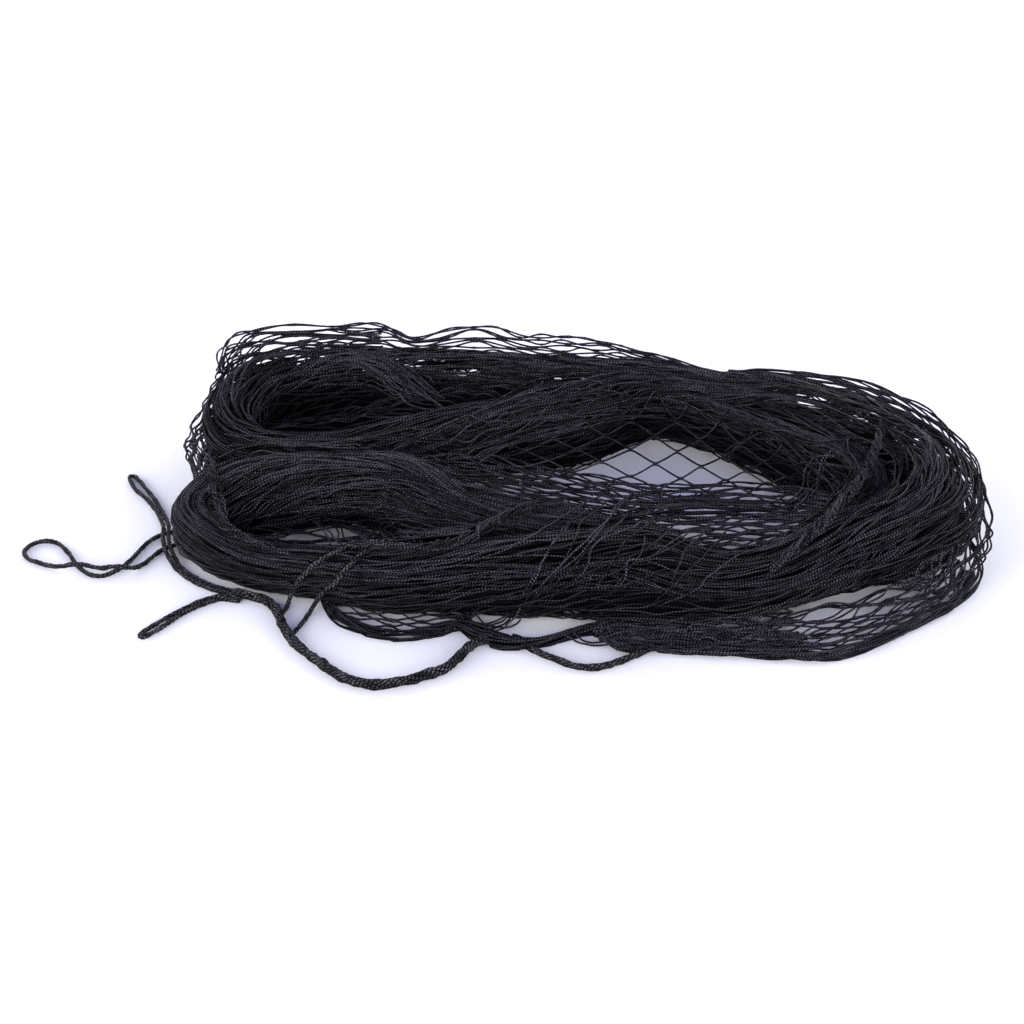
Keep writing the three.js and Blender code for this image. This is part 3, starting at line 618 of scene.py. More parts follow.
@lru_cache(maxsize=None)
def terrain():
    """Heights of the gathered runs and of the webs that lie slack, on a grid of the lay."""
    theta = np.linspace(-0.3, math.pi + 0.3, 150)[:, None]
    clouds = []
    for rows, closed, count in (
        (CIRCUIT, True, 1600),
        (SUNKEN_FOLD, False, 200),
        (HOLLOW_FOLD, False, 100),
        (DRAWN_CORNER, False, 120),
    ):
        places, _ = even_places(np.array(rows, float)[:, :2], count, closed)
        run = sweep(rows, places, closed)
        share = np.linspace(0, 1, count + 1)[None, :]
        clouds.append(around(run, theta, 1 + locks(theta, share), 0.0).reshape(-1, 3))
    for stations in (SHELF_WEB, LOOSE_WEB):
        edges = curve(np.array(stations, float), np.linspace(0, len(stations) - 1, 300))
        v = np.linspace(0, 1, 60)[:, None, None]
        clouds.append((edges[:, :3] * (1 - v) + edges[:, 3:] * v).reshape(-1, 3))
    grid = np.zeros(GRID_SIZE)
    for points in clouds:
        cells = np.round((points[:, :2] - GRID_CORNER) / GRID_STEP).astype(int)
        cells = np.clip(cells, 0, np.array(GRID_SIZE) - 1)
        np.maximum.at(grid, (cells[:, 0], cells[:, 1]), points[:, 2])
    return grid


def height_at(points):
    """Height of the runs below the points."""
    grid = terrain()
    spot = np.clip((points[..., :2] - GRID_CORNER) / GRID_STEP, 0, np.array(GRID_SIZE) - 1.001)
    first = np.floor(spot).astype(int)
    part = spot - first
    i, j = first[..., 0], first[..., 1]
    u, v = part[..., 0], part[..., 1]
    low = grid[i, j] * (1 - u) + grid[i + 1, j] * u
    high = grid[i, j + 1] * (1 - u) + grid[i + 1, j + 1] * u
    return low * (1 - v) + high * v


def drape(lines, lift, rounds):
    """Lifts lines onto the runs and lets them bridge the hollows as a slack string does."""
    ground = np.maximum(height_at(lines) + lift, lift)
    height = np.maximum(lines[..., 2], ground)
    for _ in range(rounds):
        height[..., 1:-1] = np.maximum(ground[..., 1:-1], 0.5 * (height[..., 2:] + height[..., :-2]))
    lines = lines.copy()
    lines[..., 2] = height
    return lines


def doubled(rows):
    """Centre line of a cord laid double: out on one side of the rows, round the tip and back."""
    rows = np.array(rows, float)
    last = len(rows) - 1
    places = np.arange(last + 1, dtype=float)
    ahead = curve(rows[:, :3], np.minimum(places + 0.01, last))
    behind = curve(rows[:, :3], np.maximum(places - 0.01, 0))
    step = ahead - behind
    along = step[:, :2] / np.linalg.norm(step[:, :2], axis=1)[:, None]
    aside = np.column_stack([-along[:, 1], along[:, 0], np.zeros(last + 1)]) * rows[:, 3:]
    tip = rows[0, :3] - np.append(along[0], 0) * rows[0, 3]
    return np.vstack([(rows[:, :3] + aside)[::-1], tip, rows[:, :3] - aside])


CORDS = [
    ("loop_rope", "loop_cord", np.array(LOOP_ROUTE, float), "lacing"),
    ("upper_tail_rope", "upper_tail_cord", doubled(UPPER_TAIL), "lacing"),
    ("lower_tail_rope", "lower_tail_cord", doubled(LOWER_TAIL), "lacing"),
    ("front_rope", "front_cord", np.array(FRONT_ROUTE, float), "front_cord"),
    ("skirt_rope", "skirt_cord", np.array(SKIRT_ROUTE, float), "skirt_cord"),
    ("left_cross_rope", "left_cross_cord", np.array(LEFT_CROSS_ROUTE, float), "lacing"),
    ("right_cross_rope", "right_cross_cord", np.array(RIGHT_CROSS_ROUTE, float), "lacing"),
]


@lru_cache(maxsize=None)
def cord_points(index):
    """Points about CORD_STEP apart on the centre line of a cord."""
    route = CORDS[index][2]
    return even_curve(route, round(path_length(route) / CORD_STEP) + 1)


def clear_of_cords(lines, radius, sizes):
    """Moves points of net lines out of the cords: below one that lies on the net, else aside or over it."""
    flat = lines.reshape(-1, 3).copy()
    for index, cord in enumerate(CORDS):
        path = cord_points(index)
        reach = getattr(sizes, cord[3]) * TO_MILLIMETRES / 2 + radius + CORD_ROOM
        low, high = path.min(axis=0) - reach, path.max(axis=0) + reach
        near = np.nonzero(np.all((flat > low) & (flat < high), axis=1))[0]
        for part in np.array_split(near, max(1, len(near) // 4000)):
            if not len(part):
                continue
            apart = flat[part][:, None, :] - path[None, :, :]
            distance = np.linalg.norm(apart, axis=2)
            closest = np.argmin(distance, axis=1)
            row = np.arange(len(part))
            inside = distance[row, closest] < reach
            away = apart[row, closest][inside]
            spot = path[closest[inside]]
            lifted = spot[:, 2] > LIFTED_CORD
            away[:, 2] = np.where(lifted, -np.abs(away[:, 2]) - PUSHED_DOWN, np.abs(away[:, 2]))
            away /= np.maximum(np.linalg.norm(away, axis=1), 1e-6)[:, None]
            flat[part[inside]] = spot + away * reach
    flat[:, 2] = np.maximum(flat[:, 2], radius)
    return flat.reshape(lines.shape)


def make_mesh(name, corners, loops, starts, uvs, tones_and_shades, material):
    """A smooth mesh object from arrays. corners are in the lay's millimetres."""
    mesh = bpy.data.meshes.new(name)
    places = (corners - LAY_MIDDLE) * TO_METRES
    mesh.vertices.add(len(places))
    mesh.vertices.foreach_set("co", places.astype(np.float32).ravel())
    mesh.loops.add(len(loops))
    mesh.loops.foreach_set("vertex_index", loops.astype(np.int32))
    mesh.polygons.add(len(starts))
    mesh.polygons.foreach_set("loop_start", starts.astype(np.int32))
    mesh.polygons.foreach_set("use_smooth", np.ones(len(starts), bool))
    mesh.update(calc_edges=True)
    layer = mesh.uv_layers.new(name="lay")
    layer.data.foreach_set("uv", uvs.astype(np.float32).ravel())
    tone_and_shade = mesh.attributes.new("tone_and_shade", "FLOAT", "POINT")
    tone_and_shade.data.foreach_set("value", tones_and_shades.astype(np.float32))
    mesh.materials.append(material)
    piece = bpy.data.objects.new(name, mesh)
    bpy.context.scene.collection.objects.link(piece)
    return piece


def tubes(name, groups, sides, material, seed):
    """One mesh of closed tubes. Each group is lines (strands, samples, 3), radii and, at will, a shade."""
    rng = np.random.default_rng(seed)
    corners, loops, starts, uvs, tones_and_shades = [], [], [], [], []
    corner_count = 0
    loop_count = 0
    angle = 2 * math.pi * (np.arange(sides) + 0.5) / sides
    for lines, radii, *shade in groups:
        strands, samples = lines.shape[:2]
        along = np.gradient(lines, axis=1)
        along /= np.maximum(np.linalg.norm(along, axis=2), 1e-9)[..., None]
        up = np.array([0.03, 0.02, 1.0])
        normal = up - along * (along @ up)[..., None]
        normal /= np.maximum(np.linalg.norm(normal, axis=2), 1e-9)[..., None]
        side = np.cross(along, normal)
        radii = np.broadcast_to(radii, (strands, samples))[..., None, None]
        ring = normal[:, :, None, :] * np.cos(angle)[:, None] + side[:, :, None, :] * np.sin(angle)[:, None]
        corners.append((lines[:, :, None, :] + radii * ring).reshape(-1, 3))

        row = np.arange(strands)[:, None, None] * samples + np.arange(samples)[:, None]
        first = corner_count + row * sides
        index = first + np.arange(sides)
        after = first + (np.arange(sides) + 1) % sides
        quads = np.stack([index[:, :-1], after[:, :-1], after[:, 1:], index[:, 1:]], axis=-1)
        caps = np.concatenate([index[:, 0, ::-1], index[:, -1]], axis=0)
        loops.append(quads.reshape(-1))
        loops.append(caps.reshape(-1))
        quad_count = strands * (samples - 1) * sides
        starts.append(loop_count + 4 * np.arange(quad_count))
        starts.append(loop_count + 4 * quad_count + sides * np.arange(2 * strands))
        loop_count += 4 * quad_count + 2 * strands * sides

        steps = np.linalg.norm(np.diff(lines, axis=1), axis=2)
        reach = np.concatenate([np.zeros((strands, 1)), np.cumsum(steps, axis=1)], axis=1) / BEAD_TILE
        reach = reach + rng.random((strands, 1))
        turn = (np.arange(sides + 1) + 0.5) / sides
        grid = np.empty((strands, samples, sides + 1, 2))
        grid[..., 0] = reach[:, :, None]
        grid[..., 1] = turn
        face_uvs = np.stack([grid[:, :-1, :-1], grid[:, :-1, 1:], grid[:, 1:, 1:], grid[:, 1:, :-1]], axis=3)
        uvs.append(face_uvs.reshape(-1, 2))
        uvs.append(np.concatenate([grid[:, 0, :-1][:, ::-1], grid[:, -1, :-1]], axis=0).reshape(-1, 2))
        tone_and_shade = rng.random((strands, 1)) * np.ones((1, samples))
        if shade:
            tone_and_shade = tone_and_shade * shade[0]
        tones_and_shades.append(np.repeat(tone_and_shade.ravel(), sides))
        corner_count += strands * samples * sides
    return make_mesh(
        name, np.concatenate(corners), np.concatenate(loops), np.concatenate(starts), np.concatenate(uvs),
        np.concatenate(tones_and_shades), material)


def packed_mesh(name, rings, material):
    """A closed skin over rings of points (rings, sides, 3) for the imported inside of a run."""
    count, sides = rings.shape[:2]
    index = np.arange(count)[:, None] * sides + np.arange(sides)
    after = np.arange(count)[:, None] * sides + (np.arange(sides) + 1) % sides
    quads = np.stack([index[:-1], after[:-1], after[1:], index[1:]], axis=-1).reshape(-1)
    caps = np.concatenate([index[0, ::-1], index[-1]])
    quad_count = (count - 1) * sides
    starts = np.concatenate([4 * np.arange(quad_count), 4 * quad_count + sides * np.arange(2)])
    steps = np.linalg.norm(np.diff(rings.mean(axis=1), axis=0), axis=1)
    reach = np.concatenate([[0], np.cumsum(steps)]) / BEAD_TILE
    grid = np.empty((count, sides + 1, 2))
    grid[..., 0] = reach[:, None]
    grid[..., 1] = np.arange(sides + 1) / sides
    face_uvs = np.stack([grid[:-1, :-1], grid[:-1, 1:], grid[1:, 1:], grid[1:, :-1]], axis=2).reshape(-1, 2)
    cap_uvs = np.concatenate([grid[0, :-1][::-1], grid[-1, :-1]])
    return make_mesh(
        name, rings.reshape(-1, 3), np.concatenate([quads, caps]), starts,
        np.concatenate([face_uvs, cap_uvs]), np.zeros(count * sides), material)


def run_strands(run, share, bars, strands, rho, turns, seed, floor):
    """Strands (strands, samples, 3) that follow a run and meet at the net's joints, and their shade."""
    rng = np.random.default_rng(seed)
    spacing = 2 * math.pi / strands
    number = np.arange(strands)[:, None]
    share = share[None, :]
    base = spacing * (number + 0.25 * rng.standard_normal((strands, 1)))
    fit = min(1.0, bars / WAVE_BARS)
    theta = base + 2 * math.pi * turns * share
    theta = theta + 0.55 * spacing * (2 * zigzag(bars * share + number) - 1)
    for lobes, cycles, size in RUN_WAVES:
        way = lobes * base + 2 * math.pi * cycles * fit * share + rng.random() * ROUGH_TURN
        theta = theta + size * np.sin(way)
    clump = np.mod(number + rng.integers(0, CLUMP_STRANDS), CLUMP_STRANDS) - (CLUMP_STRANDS - 1) / 2
    draw = np.interp(run["places"], *np.array(CLUMPING).T)[None, :]
    start = rng.random((strands // CLUMP_STRANDS + 2, 1)) * ROUGH_TURN
    start = start[(number[:, 0] + CLUMP_STRANDS) // CLUMP_STRANDS]
    pull = np.sin(2 * math.pi * CLUMP_CYCLES * fit * share + start)
    theta = theta - np.clip(draw * (1 + 0.6 * pull), 0, 0.9) * clump * spacing
    spread = np.zeros_like(theta)
    for cycles, size in STRAND_WAVES:
        way = fit * (cycles + rng.integers(-2, 3, (strands, 1))) * share + rng.random((strands, 1))
        spread += size * np.sin(2 * math.pi * way)
    theta = theta + WIGGLE * spread
    theta = theta + TOP_DENSITY * np.cos(theta)
    way = fit * rng.integers(5, 16, (strands, 1)) * share + rng.random((strands, 1))
    loose = 0.018 * rng.standard_normal((strands, 1)) + 0.012 * np.sin(2 * math.pi * way)
    ridge = locks(theta, share)
    # Painted shade: strands sunk between the ridges are darker, strands that stand out are lighter
    shade = np.clip(0.7 + 5 * ridge + 4 * loose, 0.15, 1.2)
    return around(run, theta, rho * (1 + ridge) + loose, floor), shade


def sheaf_strands(run, rng, strands, samples, radius):
    """A sheet of strands that lies askew over a run, gathers at both ends and sinks in among the others."""
    count = len(run["places"]) - 1
    index = (int(rng.integers(0, count)) + np.arange(samples)) % count
    part = {key: value[index] for key, value in run.items()}
    share = (index / count)[None, :]
    t = np.linspace(0, 1, samples)[None, :]
    number = np.linspace(-0.5, 0.5, strands)[:, None]
    width = rng.uniform(0.3, 0.75) * (0.1 + 0.9 * np.sin(math.pi * t) ** 0.8)
    middle = rng.uniform(0.0, math.pi) + rng.uniform(-1.3, 1.3) * (t - 0.5)
    sway = rng.uniform(0.03, 0.14)
    middle = middle + sway * np.sin(2 * math.pi * (rng.uniform(0.6, 1.6) * t + rng.random()))
    theta = middle + width * (number + 0.25 / strands * rng.standard_normal((strands, 1)))
    bars = samples / SAMPLES_PER_BAR
    theta = theta + 0.4 * width / strands * (2 * zigzag(bars * t + np.arange(strands)[:, None]) - 1)
    for cycles in (2, 5):
        theta = theta + 0.25 * width / strands * np.sin(
            2 * math.pi * (cycles * rng.uniform(0.7, 1.3, (strands, 1)) * t + rng.random((strands, 1))))
    rho = 1.01 + 0.05 * np.sin(math.pi * t) - 0.3 * np.abs(2 * t - 1) ** 6
    rho = rho + locks(theta, share) + 0.01 * rng.standard_normal((strands, 1))
    return around(part, theta, rho, radius)


def fan_strands(rows, copies, samples, seed, radius):
    """Single strands along rows of points, with more beside each row."""
    rng = np.random.default_rng(seed)
    lines = []
    t = np.linspace(0, 1, samples)
    for row in rows:
        for copy in range(copies):
            line = even_curve(row, samples)
            aside = copy * rng.uniform((-8, -12), (8, 12))
            line[:, 0] += aside[0] * (1 - t) + aside[1] * t
            for axis, size in ((0, 2.6), (2, 1.0)):
                for cycles in (1.3, 2.6, 5.0):
                    way = 2 * math.pi * (cycles * t + rng.random())
                    line[:, axis] += rng.uniform(0.4, 1) * size / cycles * np.sin(way)
            lines.append(line)
    return tucked_ends(np.array(lines), radius)


def tucked_ends(lines, radius):
    """The lines with their ends drawn back into the run that they lie on."""
    ends = np.abs(np.linspace(-1, 1, lines.shape[1])) ** 12
    lines[..., 1] += 5 * ends
    lines[..., 2] = np.maximum(lines[..., 2] - 6 * ends, radius)
    return lines


def sheet_strands(rows, strands, samples, seed, radius):
    """Strands of a loose sheet: each lies between two rows of points and drifts across them."""
    rng = np.random.default_rng(seed)
    tracks = np.array([even_curve(row, TRACK_STEPS + 1) for row in rows])
    t = np.linspace(0, 1, samples)
    level = rng.uniform(0, len(rows) - 1, (strands, 1)) + rng.uniform(-0.9, 0.9, (strands, 1)) * (t - 0.5)
    for cycles in (1.2, 2.7):
        level = level + 0.22 / cycles * np.sin(2 * math.pi * (cycles * t + rng.random((strands, 1))))
    level = np.clip(level, 0, len(rows) - 1.001)
    first = rng.uniform(0, 0.3, (strands, 1))
    last = rng.uniform(0.7, 1, (strands, 1))
    spot = np.round(TRACK_STEPS * (first + (last - first) * t)).astype(int)
    low = level.astype(int)
    part = (level - low)[..., None]
    lines = tracks[low, spot] * (1 - part) + tracks[low + 1, spot] * part
    return tucked_ends(lines, radius)


def bundle_strands(points, width, strands, turns, seed, radius):
    """A loosely twisted bundle of strands laid over the runs through the points."""
    rng = np.random.default_rng(seed)
    samples = round(path_length(points) / BUNDLE_STEP)
    path = even_curve(points, samples)
    along = np.gradient(path, axis=0)
    along /= np.linalg.norm(along, axis=1)[:, None]
    side = np.cross(along, [0, 0, 1.0])
    side /= np.linalg.norm(side, axis=1)[:, None]
    up = np.cross(side, along)
    t = np.linspace(0, 1, samples)[None, :]
    taper = 0.4 + 0.6 * np.sin(math.pi * t) ** 0.5
    out = np.sqrt(rng.uniform(0.05, 1, (strands, 1))) * width / 2 * taper
    turn = rng.random((strands, 1)) + turns * t
    for cycles, size in BUNDLE_WAVES:
        way = cycles * rng.uniform(0.7, 1.3, (strands, 1)) * t + rng.random((strands, 1))
        turn = turn + size * np.sin(2 * math.pi * way)
        out = out * (1 + 2.4 * size * np.sin(2 * math.pi * (way + 0.3)))
    turn = 2 * math.pi * turn
    lift = width / 4 * taper - (4 + 16 * rng.random((strands, 1))) * np.abs(2 * t - 1) ** 7
    lines = path + (out * np.cos(turn))[..., None] * side + (0.6 * out * np.sin(turn) + lift)[..., None] * up
    lines[..., 2] = np.maximum(lines[..., 2], radius)
    return lines


def spread_strands(stations, strands, bars, seed, phase, sag, gather, wobble, slack, twine):
    """Strands of spread netting between a low and a high edge, with the swelling of their joints."""
    rng = np.random.default_rng(seed)
    stations = np.array(stations, float)
    samples = bars * SPREAD_SAMPLES_PER_BAR + 1
    places = np.linspace(0, len(stations) - 1, samples)
    low = curve(stations[:, :3], places)
    high = curve(stations[:, 3:], places)
    share = np.linspace(0, 1, samples)[None, :]
    number = np.arange(strands)[:, None]
    wave = zigzag(bars * share + number + phase)
    gap = np.linalg.norm(high - low, axis=1)[None, :] / strands
    rest = np.minimum(0.42 * twine / np.maximum(gap, 0.1), 0.48)
    slip = slack * np.sin(2 * math.pi * (rng.integers(1, 4, (strands, 1)) * share + rng.random((strands, 1))))
    across = np.clip((wave - 0.5) * (1.02 + slack) + 0.5, rest, 1 - rest)
    v = np.clip((number + across + slip * (1 - np.abs(2 * wave - 1))) / strands, 0, 1) ** gather
    lines = low + (high - low) * v[..., None]
    lines[..., 2] -= sag * 4 * v * (1 - v)
    for axis, size in enumerate((1.0, 1.0, 0.5)):
        for cycles in (2, 5, 9):
            turn = 2 * math.pi * (cycles * share + rng.random() + v * rng.uniform(0.5, 2))
            lines[..., axis] += wobble * size * np.sin(turn) / (1 + 0.4 * cycles)
    joint = np.clip((np.abs(2 * wave - 1) - 0.84) / 0.16, 0, 1)
    return lines, 1 + 0.3 * joint


def rope_lines(path, diameter, plies, pitch, seed):
    """Strands of a loosely twisted cord round a path, in millimetres, and their radii. The ends taper."""
    rng = np.random.default_rng(seed)
    along = np.gradient(path, axis=0)
    along /= np.linalg.norm(along, axis=1)[:, None]
    normal = np.cross(along[0], [0, 0, 1.0])
    normal /= np.linalg.norm(normal)
    normals = []
    for direction in along:
        normal = normal - direction * (normal @ direction)
        normal /= np.linalg.norm(normal)
        normals.append(normal)
    normals = np.array(normals)
    sides = np.cross(along, normals)
    reach = np.concatenate([[0], np.cumsum(np.linalg.norm(np.diff(path, axis=0), axis=1))])
    ply = diameter * 0.5 / (1 + 1 / math.sin(math.pi / plies)) * 1.12
    number = np.arange(plies)[:, None]
    ends = np.clip(np.minimum(reach, reach[-1] - reach) / (1.3 * diameter), 0, 1) ** 0.5
    out = (diameter / 2 - ply) * (0.4 + 0.6 * ends) * np.ones((plies, 1))
    turn = 2 * math.pi * (reach / pitch + number / plies)
    for wave in (17.0, 31.0):
        way = 2 * math.pi * (reach / wave * rng.uniform(0.8, 1.25, (plies, 1)) + rng.random((plies, 1)))
        out = out * (1 + 0.13 * np.sin(way))
        turn = turn + 0.22 * np.cos(way)
    lines = path + out[..., None] * (np.cos(turn)[..., None] * normals + np.sin(turn)[..., None] * sides)
    radii = ply * (0.7 + 0.3 * ends) * np.ones((plies, 1))
    lines[..., 2] = np.maximum(lines[..., 2], radii)
    return lines, radii


def value_node(tree, operation, first, second=None, third=None, clamp=False):
    """A math node fed by sockets or numbers; gives its output."""
    node = tree.nodes.new("ShaderNodeMath")
    node.operation = operation
    node.use_clamp = clamp
    for socket, value in zip(node.inputs, (first, second, third)):
        if value is None:
            continue
        if isinstance(value, bpy.types.NodeSocket):
            tree.links.new(value, socket)
        else:
            socket.default_value = value
    return node.outputs[0]


def laid_yarn_group():
    """Node group: plies twisted round a yarn, from the lay map. Gives a colour, a roughness and a height."""
    name = "laid_yarn"
    if name in bpy.data.node_groups:
        return bpy.data.node_groups[name]
    tree = bpy.data.node_groups.new(name, "ShaderNodeTree")
    face = tree.interface
    for label, kind, value in (
        ("Groove", "NodeSocketColor", (0.003, 0.003, 0.003, 1)),
        ("Ply", "NodeSocketColor", (0.03, 0.03, 0.03, 1)),
        ("Beads", "NodeSocketFloat", 8.0),
        ("Plies", "NodeSocketFloat", 3.0),
        ("Topside", "NodeSocketFloat", 0.0),
    ):
        socket = face.new_socket(name=label, in_out="INPUT", socket_type=kind)
        socket.default_value = value
    face.new_socket(name="Colour", in_out="OUTPUT", socket_type="NodeSocketColor")
    face.new_socket(name="Roughness", in_out="OUTPUT", socket_type="NodeSocketFloat")
    face.new_socket(name="Height", in_out="OUTPUT", socket_type="NodeSocketFloat")
    source = tree.nodes.new("NodeGroupInput")
    result = tree.nodes.new("NodeGroupOutput")
    lay = tree.nodes.new("ShaderNodeUVMap")
    lay.uv_map = "lay"
    split = tree.nodes.new("ShaderNodeSeparateXYZ")
    tree.links.new(lay.outputs["UV"], split.inputs[0])
    along = value_node(tree, "MULTIPLY", split.outputs["X"], source.outputs["Beads"])
    turn = value_node(tree, "MULTIPLY", split.outputs["Y"], source.outputs["Plies"])
    phase = value_node(tree, "ADD", along, turn)
    wave = value_node(tree, "SINE", value_node(tree, "MULTIPLY", phase, math.pi))
    ridge = value_node(tree, "ABSOLUTE", wave)
    fibre = tree.nodes.new("ShaderNodeTexNoise")
    fibre.inputs["Scale"].default_value = FIBRE_SCALE
    fibre.inputs["Detail"].default_value = 2.0
    place = tree.nodes.new("ShaderNodeTexCoord")
    tree.links.new(place.outputs["Object"], fibre.inputs["Vector"])
    patch = tree.nodes.new("ShaderNodeTexNoise")
    patch.inputs["Scale"].default_value = PATCH_SCALE
    patch.inputs["Detail"].default_value = 3.0
    tree.links.new(place.outputs["Object"], patch.inputs["Vector"])
    tone_and_shade = tree.nodes.new("ShaderNodeAttribute")
    tone_and_shade.attribute_name = "tone_and_shade"
    # Painted highlights on the tops of the plies, falling to painted shade in the grooves between them
    painted_bead_light = value_node(tree, "POWER", ridge, PLY_SHARPNESS)
    grain = value_node(tree, "MULTIPLY_ADD", fibre.outputs["Fac"], 0.9, 0.5)
    worn = value_node(tree, "MULTIPLY_ADD", patch.outputs["Fac"], 0.8, 0.6)
    # Each strand's random tone, times the painted shade of the runs' valleys
    strand_tone_and_shade = value_node(tree, "MULTIPLY_ADD", tone_and_shade.outputs["Fac"], 1.2, 0.4)
    bead = tree.nodes.new("ShaderNodeTexWhiteNoise")
    bead.noise_dimensions = "1D"
    strand = value_node(tree, "MULTIPLY", tone_and_shade.outputs["Fac"], STRAND_STEP)
    tree.links.new(value_node(tree, "ADD", value_node(tree, "FLOOR", phase), strand), bead.inputs["W"])
    uneven = value_node(tree, "MULTIPLY_ADD", bead.outputs["Value"], 1.1, 0.45)
    level = painted_bead_light
    for part in (grain, uneven, worn, strand_tone_and_shade):
        level = value_node(tree, "MULTIPLY", level, part)
    # Painted light: the upper side of the yarn is coloured lighter and its underside darker, as light from
    # above would make it
    face_up = value_node(tree, "COSINE", value_node(tree, "MULTIPLY", split.outputs["Y"], 2 * math.pi))
    painted_top_light = value_node(tree, "MULTIPLY_ADD", face_up, 0.5, 0.5)
    painted_top_light = value_node(tree, "SUBTRACT", value_node(tree, "POWER", painted_top_light, TOP_SHARPNESS), 1.0)
    painted_top_light = value_node(tree, "MULTIPLY_ADD", painted_top_light, source.outputs["Topside"], 1.0)
    level = value_node(tree, "MULTIPLY", level, painted_top_light, clamp=True)
    level = value_node(tree, "POWER", level, YARN_CONTRAST)
    mix = tree.nodes.new("ShaderNodeMix")
    mix.data_type = "RGBA"
    tree.links.new(level, mix.inputs["Factor"])
    tree.links.new(source.outputs["Groove"], mix.inputs[MIX_FIRST])
    tree.links.new(source.outputs["Ply"], mix.inputs[MIX_SECOND])
    tree.links.new(mix.outputs[MIX_RESULT], result.inputs["Colour"])
    rough = value_node(tree, "MULTIPLY_ADD", ridge, -0.25, 0.8)
    tree.links.new(rough, result.inputs["Roughness"])
    tree.links.new(ridge, result.inputs["Height"])
    return tree


def yarn_material(name, groove, ply, beads, plies, depth, topside):
    """Dark yarn with painted highlights on its plies, painted shade in the grooves and painted light on its
    upper side.
    """
    if name in bpy.data.materials:
        return bpy.data.materials[name]
    material = bpy.data.materials.new(name)
    material.use_nodes = True
    tree = material.node_tree
    shader = tree.nodes["Principled BSDF"]
    group = tree.nodes.new("ShaderNodeGroup")
    group.node_tree = laid_yarn_group()
    for label, value in (
        ("Groove", (*groove, 1)),
        ("Ply", (*ply, 1)),
        ("Beads", beads),
        ("Plies", plies),
        ("Topside", topside),
    ):
        group.inputs[label].default_value = value
    bump = tree.nodes.new("ShaderNodeBump")
    bump.inputs["Strength"].default_value = 1.0
    bump.inputs["Distance"].default_value = depth
    tree.links.new(group.outputs["Colour"], shader.inputs["Base Color"])
    tree.links.new(group.outputs["Roughness"], shader.inputs["Roughness"])
    tree.links.new(group.outputs["Height"], bump.inputs["Height"])
    tree.links.new(bump.outputs["Normal"], shader.inputs["Normal"])
    shader.inputs["Specular IOR Level"].default_value = 0.03
    return material


def twine_material(colours):
    """Twine on the outside of the net."""
    return yarn_material(
        "beaded_twine", colours.twine_groove, colours.twine_ply,
        beads=7.6, plies=1.0, depth=0.0004, topside=0.9)


def shaded_material(colours):
    """Twine below the surface."""
    return yarn_material(
        "shaded_twine", colours.twine_groove, colours.shaded_ply,
        beads=7.6, plies=1.0, depth=0.0004, topside=0.6)


def cord_material(colours):
    """Plies of the lacing cords."""
    return yarn_material(
        "lacing_yarn", colours.cord_groove, colours.cord_ply,
        beads=6.5, plies=1.0, depth=0.0004, topside=0.8)


def packed_material(colours):
    """Twine deep in the runs, coloured near black as painted shade."""
    groove = [0.5 * part for part in colours.packed]
    return yarn_material(
        "packed_twine", groove, colours.packed, beads=8.0, plies=60.0, depth=0.0008, topside=0.0)


def floor_material(colours):
    """Plain pale floor with a very faint unevenness."""
    material = bpy.data.materials.new("pale_floor")
    material.use_nodes = True
    tree = material.node_tree
    shader = tree.nodes["Principled BSDF"]
    noise = tree.nodes.new("ShaderNodeTexNoise")
    noise.inputs["Scale"].default_value = 3.0
    mix = tree.nodes.new("ShaderNodeMix")
    mix.data_type = "RGBA"
    mix.inputs[MIX_FIRST].default_value = (*colours.floor, 1)
    mix.inputs[MIX_SECOND].default_value = (*[0.99 * part for part in colours.floor], 1)
    tree.links.new(noise.outputs["Fac"], mix.inputs["Factor"])
    tree.links.new(mix.outputs[MIX_RESULT], shader.inputs["Base Color"])
    shader.inputs["Roughness"].default_value = 0.7
    shader.inputs["Specular IOR Level"].default_value = 0.2
    return material


def white_room():
    """A white room whose walls are brighter than its ceiling."""
    world = bpy.data.worlds.new("white_room")
    world.use_nodes = True
    tree = world.node_tree
    place = tree.nodes.new("ShaderNodeTexCoord")
    split = tree.nodes.new("ShaderNodeSeparateXYZ")
    ramp = tree.nodes.new("ShaderNodeValToRGB")
    ramp.color_ramp.elements[0].position = 0.0
    ramp.color_ramp.elements[0].color = (1.0, 1.0, 1.0, 1)
    ramp.color_ramp.elements[1].position = 0.68
    ramp.color_ramp.elements[1].color = (0.012, 0.012, 0.04, 1)
    tree.links.new(place.outputs["Generated"], split.inputs[0])
    tree.links.new(split.outputs["Z"], ramp.inputs["Fac"])
    tree.links.new(ramp.outputs["Color"], tree.nodes["Background"].inputs["Color"])
    tree.nodes["Background"].inputs["Strength"].default_value = 8.0
    return world


def join_net(piece):
    """Attaches a piece to the root body and hides the imported net."""
    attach(piece, "root")
    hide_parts("net")


def lay_strands(name, lines, radius, shade, sides, material, seed, sizes):
    """Clears strands of the cords and joins them to the net as one piece."""
    lines = clear_of_cords(lines, radius, sizes)
    join_net(tubes(name, [(lines, radius, shade)], sides, material, seed))


def net_tools(scene):
    """The sizes, the twine's material and half the width of slack twine."""
    sizes = scene.hank_sizes
    return sizes, twine_material(scene.hank_colours), sizes.slack_twine * TO_MILLIMETRES / 2


